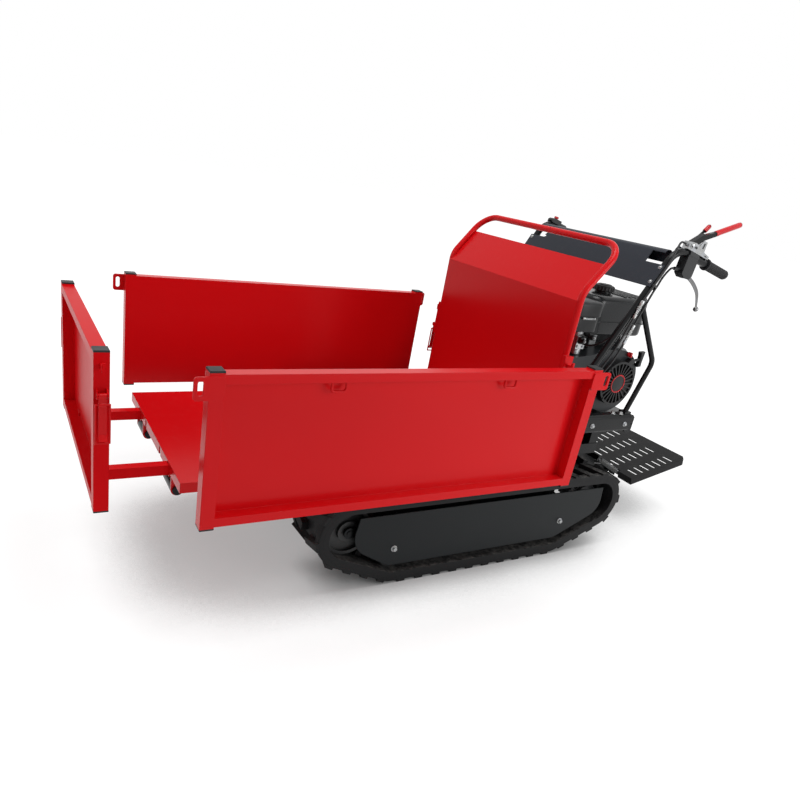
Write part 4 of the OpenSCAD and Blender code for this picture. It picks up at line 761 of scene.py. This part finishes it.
def makeTie():
    bm = bmesh.new()
    for h in (0, tie["width"]):
        for radius, (x, y), segments in tie["loops"]:
            made = bmesh.ops.create_circle(bm, segments=segments, radius=radius)["verts"]
            bmesh.ops.translate(bm, vec=(x, y, h), verts=made)
    bmesh.ops.convex_hull(bm, input=bm.verts)
    bmesh.ops.delete(bm, geom=[v for v in bm.verts if not v.link_faces], context="VERTS")
    addBlock(bm, *tie["tail"], tie["tailBevel"])
    bmesh.ops.transform(bm, matrix=facing(at(*tie["middle"]), stemDir, stemFront), verts=bm.verts)
    addPiece("cableTie", bm, "black_plastic", "chassis")


makeTie()

# air cleaner: base, waist and lid as (low, high, corner, top rim), clip strip with two rivets, wing nut on its boss
airBox = {
    "boxes": (((-405, 62, 700), (-302, 188, 744.5), 0.024, 0.002),
              ((-401, 66, 740), (-305, 186, 760), 0.020, 0.001),
              ((-408, 58, 747), (-299, 192, 790), 0.024, 0.011)),
    "boss": ((0, 0), (0.010, 0), (0.010, 0.004), (0.008, 0.008), (0, 0.008)), "bossAt": (-352, 125, 789),
    "strip": ((-376, 191.6, 739), (-322, 193.4, 745)), "stripBevel": 0.0006,
    "rivets": ((-372, 193.6, 743), (-326, 193.6, 743)), "rivet": 0.0032, "rivetScale": (1, 0.6, 1),
    "nut": ((0.0, 0.011), (0.003, 0.011), (0.0042, 0.010), (0.0058, 0.001), (0.0064, 0.0), (0.0064, -0.002)),
    "nutAt": (-352, 125, 797),
    "wing": 0.0075, "wingScale": (1, 0.22, 0.8), "wingAt": (0.0095, 0, 0.009),
}


# box whose upright edges are rounded by one radius and whose top and bottom rims by others
def moulded(bm, low, high, corner, top, bottom=0.0015, segments=8):
    made = addBlock(bm, low, high)
    edges = {e for v in made for e in v.link_edges}
    upright = [e for e in edges if abs(e.verts[0].co.z - e.verts[1].co.z) > tiny]
    roundEdges(bm, upright, corner, segments)

    def onRim(e, z):
        inside = all(abs(v.co.z - z) < tiny and low.x - tiny <= v.co.x <= high.x + tiny
                     and low.y - tiny <= v.co.y <= high.y + tiny for v in e.verts)
        # one of its two faces is flat and the other stands
        return inside and len(e.link_faces) == 2 and sum(abs(f.normal.z) for f in e.link_faces) < 1.5

    for z, radius, steps in ((high.z, top, 5), (low.z, bottom, 3)):
        roundEdges(bm, [e for e in bm.edges if onRim(e, z)], radius, steps)
        bm.normal_update()


def makeAirBox():
    bm = bmesh.new()
    for low, high, corner, top in airBox["boxes"]:
        moulded(bm, at(*low), at(*high), corner, top)
    turned(bm, airBox["boss"], 28, Matrix.Translation(at(*airBox["bossAt"])))
    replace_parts(addPiece("airCleanerHousing", bm, "black_plastic", "chassis"), "air_cleaner")
    bm = bmesh.new()
    low, high = airBox["strip"]
    addBlock(bm, at(*low), at(*high), airBox["stripBevel"])
    for place in airBox["rivets"]:
        addBall(bm, airBox["rivet"], airBox["rivetScale"], at(*place), 14, 8)
    addPiece("airCleanerStrip", bm, "zinc", "chassis")
    bm = bmesh.new()
    turned(bm, airBox["nut"], 24)
    for turn in (0, math.pi):
        wing = addBall(bm, airBox["wing"], airBox["wingScale"], airBox["wingAt"], 16, 10)
        bmesh.ops.rotate(bm, matrix=Matrix.Rotation(turn, 3, "Z"), verts=wing)
    bmesh.ops.translate(bm, vec=at(*airBox["nutAt"]), verts=bm.verts)
    addPiece("airCleanerWingNut", bm, "zinc", "chassis")


makeAirBox()

# small carburettor fittings: bowl, choke lever, tap, their knobs and screws
carb = {
    "bowl": ((0, 0.001), (0.016, 0.001), (0.017, 0), (0.017, -0.003), (0.0155, -0.004), (0.015, -0.018),
             (0.011, -0.023), (0.004, -0.024), (0.004, -0.028), (0, -0.028)),
    "bowlAt": (-392, 133, 637),
    "blocks": (((-396, 148.2, 658), (-388, 150.2, 682), 0.0008, 2),
               ((-422, 148.2, 672), (-388, 150.2, 678), 0.0008, 2),
               ((-428, 120, 666), (-412, 158, 688), 0.004, 3),
               ((-390, 150, 654), (-374, 162, 676), 0.004, 3)),
    "knobs": (((-420, 164, 677), 0.009), ((-382, 164, 665), 0.008)), "knobDepth": 0.012,
    "screws": (((-392, 150, 664), 0.0034), ((-420, 170, 677), 0.0030), ((-382, 170, 665), 0.0030),
               ((-402, 148, 644), 0.0034), ((-380, 148, 644), 0.0034)),
}


def makeCarb():
    turnedPiece("carbBowl", carb["bowl"], Matrix.Translation(at(*carb["bowlAt"])), "bright_alloy", "chassis", 40)
    bm = bmesh.new()
    for low, high, bevel, segments in carb["blocks"]:
        addBlock(bm, at(*low), at(*high), bevel, segments)
    for place, radius in carb["knobs"]:
        addCone(bm, 24, radius, radius * 0.9, carb["knobDepth"], facing(at(*place), (0, 1, 0)))
    addPiece("chokeAndTap", bm, "black_plastic", "chassis")
    bm = bmesh.new()
    for place, radius in carb["screws"]:
        screwHead(bm, at(*place), (0, 1, 0), radius)
    addPiece("carbFittings", bm, "zinc", "chassis")


makeCarb()
print("engine fittings added")

# bolts on the track covers and domed ones on the cross panel, heads as (radius, height)
bolts = {"covers": ((277, 111), (-341, 117)), "coverY": 309, "coverHead": (0.0068, 0.0070),
         "stemFoot": (-242, 468), "alongStem": (462, 510), "off": 0.0130, "panelHead": (0.0042, 0.0042)}


# flanged hexagon head with a rounded top
def hexHead(bm, place, axis, radius, height):
    before = set(bm.verts)
    turned(bm, [(0, 0.0), (radius * 1.42, 0.0), (radius * 1.42, 0.0009), (radius * 1.30, 0.0018), (0, 0.0018)], 32)
    head = addCone(bm, 6, radius, radius, height, lifted(height / 2 + 0.001))
    top = {e for v in head for e in v.link_edges if all(w.co.z > height * 0.8 for w in e.verts)}
    roundEdges(bm, list(top), height * 0.16, 2)
    bmesh.ops.transform(bm, matrix=facing(place, axis), verts=[v for v in bm.verts if v not in before])


def domeHead(bm, place, axis, radius, height):
    profile = [(0, 0), (radius * 1.35, 0), (radius * 1.35, 0.0010), (radius, 0.0013), (radius, 0.0022),
               (radius * 0.86, height * 0.72), (radius * 0.55, height * 0.94), (0, height)]
    turned(bm, profile, 28, facing(place, axis))


def makeBolts():
    bm = bmesh.new()
    for side in (1, -1):
        for x, z in bolts["covers"]:
            hexHead(bm, at(x, bolts["coverY"] * side, z), (0, side, 0), *bolts["coverHead"])
    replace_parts(addPiece("trackCoverBolts", bm, "zinc", "chassis"), "flange_bolts")
    bm = bmesh.new()
    x, z = bolts["stemFoot"]
    for side in (1, -1):
        for s in bolts["alongStem"]:
            spot = at(x, handle["y"] * side, z) + stemDir * s / 1000 + stemFront * bolts["off"]
            domeHead(bm, spot, stemFront, *bolts["panelHead"])
    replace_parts(addPiece("crossPanelBolts", bm, "zinc", "chassis"), "flange_bolts")


makeBolts()

# steering levers: flattened blades, widest behind their middle, with a ball at the end
blade = {"route": ((-601, 904), (-614, 900), (-642, 886.5), (-666, 870), (-683, 853), (-694, 831), (-702.5, 806.5)),
         "steps": 8, "half": 0.0060, "sides": 7, "ends": 0.70, "swell": 0.38, "reach": 1.10, "flat": 0.5,
         "ball": 0.0080}


def makeBlade(side, name, node):
    y = handle["y"] * side
    line = smoothLine([at(x, y, z) for x, z in blade["route"]], blade["steps"])
    last = len(line) - 1
    widths = [blade["ends"] + blade["swell"] * math.sin(math.pi * min(1, i / last * blade["reach"]))
              for i in range(len(line))]
    mesh = meshOf(lineCurve(name + "Line", line, blade["half"], blade["sides"], widths))
    bm = bmesh.new()
    bm.from_mesh(mesh)
    bpy.data.meshes.remove(mesh)
    for v in bm.verts:
        v.co.y = y / 1000 + (v.co.y - y / 1000) * blade["flat"]
    addBall(bm, blade["ball"], (1, 1, 1), line[-1], 28, 18)
    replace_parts(addPiece(name, bm, "bright_chrome", node), node)


makeBlade(1, "leftSteeringBlade", "left_steering_lever")
makeBlade(-1, "rightSteeringBlade", "right_steering_lever")

# lever bracket: pivot bolt and nut, base bolts, and dark patches on the cheeks, painted shade where their slots are
bracket = {"y": (264, 286), "pivot": (45, 24), "pivotOff": 0.1, "pivotHead": (0.0058, 0.0048),
           "base": (87, 120), "baseUp": 16.9, "baseHead": (0.0046, 0.0036),
           "slots": ((56, 21, 70, 27), (90, 30, 97, 46), (116, 14.5, 128, 17.5)), "proud": 0.15, "sunk": 0.3}


def makeBracket():
    bm = bmesh.new()
    s, up = bracket["pivot"]
    low, high = bracket["y"]
    hexHead(bm, onGrip(s, up, high + bracket["pivotOff"]), (0, 1, 0), *bracket["pivotHead"])
    hexHead(bm, onGrip(s, up, low - bracket["pivotOff"]), (0, -1, 0), *bracket["pivotHead"])
    for s in bracket["base"]:
        hexHead(bm, onGrip(s, bracket["baseUp"], handle["y"]), gripUp, *bracket["baseHead"])
    addPiece("bracketBolts", bm, "zinc", "chassis")
    # thin black blocks on both cheeks, painted shade in place of the slots' openings
    bm = bmesh.new()
    turn = Matrix((gripDir, Vector((0, 1, 0)), gripUp)).transposed().to_4x4()
    proud, sunk = bracket["proud"], bracket["sunk"]
    for s0, u0, s1, u1 in bracket["slots"]:
        for y in (high - sunk, low - proud):
            made = addBlock(bm, (0, 0, 0), Vector((s1 - s0, proud + sunk, u1 - u0)) / 1000)
            bmesh.ops.transform(bm, matrix=Matrix.Translation(onGrip(s0, u0, y)) @ turn, verts=made)
    addPiece("bracketSlotShade", bm, "black_plastic", "chassis", False)


makeBracket()
print("bolts, blades and bracket done")

# fuel tank: pressed shell with a seam, ribs on its top and a filler neck under a ribbed cap
tank = {
    "low": (-678, -52, 678), "high": (-418, 142, 800), "corner": 0.042, "topRim": 0.020, "lowRim": 0.010,
    "seam": ((-683, -57, 718), (-413, 147, 723)), "seamCorner": 0.045, "seamRim": 0.0018, "cornerSteps": 10,
    "ribs": (-560, -584, -608, -632, -656), "ribHalf": 6, "ribY": (-30, 128), "ribZ": (790, 803.2),
    "ribBevel": 0.0045,
    "neck": ((0.0255, -0.004), (0.0285, 0.0), (0.0285, 0.002), (0.0255, 0.0035), (0.0255, 0.0075), (0, 0.0075)),
    "neckAt": (-525, 60, 798),
    "capAt": (-525, 60, 806.3), "capRadius": 0.0315, "capRibs": 20, "capRib": (0.0024, 0.0021, 0.0135),
    "capRibZ": 0.0082, "capRibSunk": 0.0004,
}


def makeTank():
    bm = bmesh.new()
    steps = tank["cornerSteps"]
    moulded(bm, at(*tank["low"]), at(*tank["high"]), tank["corner"], tank["topRim"], tank["lowRim"], steps)
    low, high = tank["seam"]
    moulded(bm, at(*low), at(*high), tank["seamCorner"], tank["seamRim"], tank["seamRim"], steps)
    (y0, y1), (z0, z1), half = tank["ribY"], tank["ribZ"], tank["ribHalf"]
    for x in tank["ribs"]:
        addBlock(bm, at(x - half, y0, z0), at(x + half, y1, z1), tank["ribBevel"], 3)
    turned(bm, tank["neck"], 48, Matrix.Translation(at(*tank["neckAt"])))
    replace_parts(addPiece("fuelTankShell", bm, "tank_black", "chassis"), "fuel_tank")
    bm = bmesh.new()
    r = tank["capRadius"]
    turned(bm, [(0, 0), (r - 0.002, 0), (r, 0.002), (r, 0.0145), (r - 0.0012, 0.0168), (r - 0.004, 0.0180),
                (r - 0.008, 0.0186), (r - 0.010, 0.0205), (r - 0.012, 0.0212), (0, 0.0216)], 64)
    ribAt = r - tank["capRibSunk"]
    for k in range(tank["capRibs"]):
        a = math.tau * k / tank["capRibs"]
        where = Matrix.Translation((ribAt * math.cos(a), ribAt * math.sin(a), tank["capRibZ"]))
        addCone(bm, 12, *tank["capRib"], where)
    bmesh.ops.translate(bm, vec=at(*tank["capAt"]), verts=bm.verts)
    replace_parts(addPiece("ribbedFuelCap", bm, "cap_plastic", "fuel_cap"), "fuel_cap")


makeTank()

# bolts on the deck's side rails, by the feet of the handle
deck = {"top": ((-473, 277), (-500, 284), (-300, 275)), "topZ": 468, "topHead": (0.0062, 0.0060),
        "side": ((-376, 437), (-300, 437), (-520, 437)), "sideY": 295, "sideHead": (0.0056, 0.0050)}


def makeDeckBolts():
    bm = bmesh.new()
    for side in (1, -1):
        for x, y in deck["top"]:
            hexHead(bm, at(x, y * side, deck["topZ"]), (0, 0, 1), *deck["topHead"])
        for x, z in deck["side"]:
            hexHead(bm, at(x, deck["sideY"] * side, z), (0, side, 0), *deck["sideHead"])
    addPiece("deckBolts", bm, "zinc", "chassis")


makeDeckBolts()
print("tank and deck dressed")

# raised rims along the belts' edges, which close the pockets between the lugs, round wheels of (x, z, radius)
belt = {"wheels": ((417, 170, 69), (-484, 170, 69), (-330, 65, 30), (270, 65, 30)), "middle": 225, "half": 89.9,
        "rim": 20, "from": 12, "top": 30, "soft": 1, "round": 4, "arcs": (0.4, 0.8, 1.2, 1.57),
        "arcStep": 6, "runStep": 40}


# the rim's section as (height above the wheel, distance from the belt's middle)
def rimSection():
    outer, inner = belt["half"], belt["half"] - belt["rim"]
    low, top, soft, r = belt["from"], belt["top"], belt["soft"], belt["round"]
    section = [(low, inner), (top - soft, inner), (top, inner + soft), (top, outer - r)]
    section += [(top - r + r * math.cos(a), outer - r + r * math.sin(a)) for a in belt["arcs"]]
    return section + [(low, outer)]


# the belt's loop as in the drawing: the angle where it starts, and for each wheel its middle, how far the
# belt goes round it, the way to the next wheel, and the steps of both
def loopParts():
    wheels = belt["wheels"]
    after = wheels[1:] + wheels[:1]
    spans = [math.hypot(nx - x, nz - z) for (x, z, r), (nx, nz, nr) in zip(wheels, after)]
    leave = [(math.atan2(nz - z, nx - x) - math.acos((r - nr) / span)) % math.tau
             for (x, z, r), (nx, nz, nr), span in zip(wheels, after, spans)]
    parts = []
    for i, ((x, z, r), (nx, nz, nr)) in enumerate(zip(wheels, after)):
        sweep = (leave[i] - leave[i - 1]) % math.tau
        out = Vector((math.cos(leave[i]), 0, math.sin(leave[i])))
        run = at(nx, 0, nz) - at(x, 0, z) + out * (nr - r) / 1000
        arcSteps = max(2, round(math.degrees(sweep) / belt["arcStep"]))
        runSteps = max(2, round(spans[i] / belt["runStep"]))
        parts.append((at(x, 0, z), sweep, arcSteps, run, runSteps))
    return leave[-1], parts


def makeRims(side, name):
    start, parts = loopParts()
    x, z, r = belt["wheels"][0]
    bm = bmesh.new()
    for edge in (1, -1):
        verts = [bm.verts.new(at(x + (r + off) * math.cos(start), (belt["middle"] + edge * y) * side,
                                 z + (r + off) * math.sin(start))) for off, y in rimSection()]
        geom = verts + [bm.edges.new(pair) for pair in zip(verts, verts[1:] + verts[:1])]
        for middle, sweep, arcSteps, run, runSteps in parts:
            geom = bmesh.ops.spin(bm, geom=geom, cent=middle, axis=(0, -1, 0), angle=sweep, steps=arcSteps,
                                  use_merge=False, use_duplicate=False)["geom_last"]
            geom = bmesh.ops.spin(bm, geom=geom, cent=(0, 0, 0), dvec=run / runSteps, axis=(0, -1, 0), angle=0,
                                  steps=runSteps, use_merge=False, use_duplicate=False)["geom_last"]
    bmesh.ops.remove_doubles(bm, verts=bm.verts, dist=tiny)
    addPiece(name, bm, "track_rubber", "chassis")


makeRims(1, "leftTrackRims")
makeRims(-1, "rightTrackRims")
print("belt rims laid")

# starter handle: curved grip that widens to its ends, on a ribbed neck
starter = {"y": 175, "half": 8, "edge": 0.0036, "neck": ((-623.2, 606.1), (-648, 610.8)), "neckRadius": 0.0045,
           "neckRibs": 5, "ribDepth": 0.0008, "ribStep": 0.001,
           "front": ((-644, 637), (-647, 624), (-648, 611), (-647, 598), (-645, 586)),
           "back": ((-661, 588), (-660, 599), (-660.5, 611), (-661.5, 624), (-663, 639))}


def makeStarter():
    bm = bmesh.new()
    y, half = starter["y"], starter["half"]
    a, b = [at(x, y, z) for x, z in starter["neck"]]
    length = (b - a).length
    r, step = starter["neckRadius"], starter["ribStep"]
    valley = r - starter["ribDepth"]
    profile = [(0, 0), (r, 0)]
    for k in range(starter["neckRibs"]):
        h = length * (k + 0.4) / starter["neckRibs"]
        profile += [(r, h), (valley, h + step), (valley, h + 2 * step), (r, h + 3 * step)]
    turned(bm, profile + [(r, length), (0, length)], 24, facing(a, b - a, (0, 1, 0)))
    outline = starter["front"] + starter["back"]
    face = bm.faces.new([bm.verts.new(at(x, y - half, z)) for x, z in outline])
    rim = list(face.edges)
    grown = bmesh.ops.extrude_face_region(bm, geom=[face])["geom"]
    far = [v for v in grown if isinstance(v, bmesh.types.BMVert)]
    bmesh.ops.translate(bm, vec=(0, 2 * half / 1000, 0), verts=far)
    rim += [e for e in grown if isinstance(e, bmesh.types.BMEdge)]
    roundEdges(bm, rim, starter["edge"], 4)
    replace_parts(addPiece("starterHandle", bm, "black_plastic", "starter_grip"), "starter_grip")


makeStarter()
print("starter handle made")
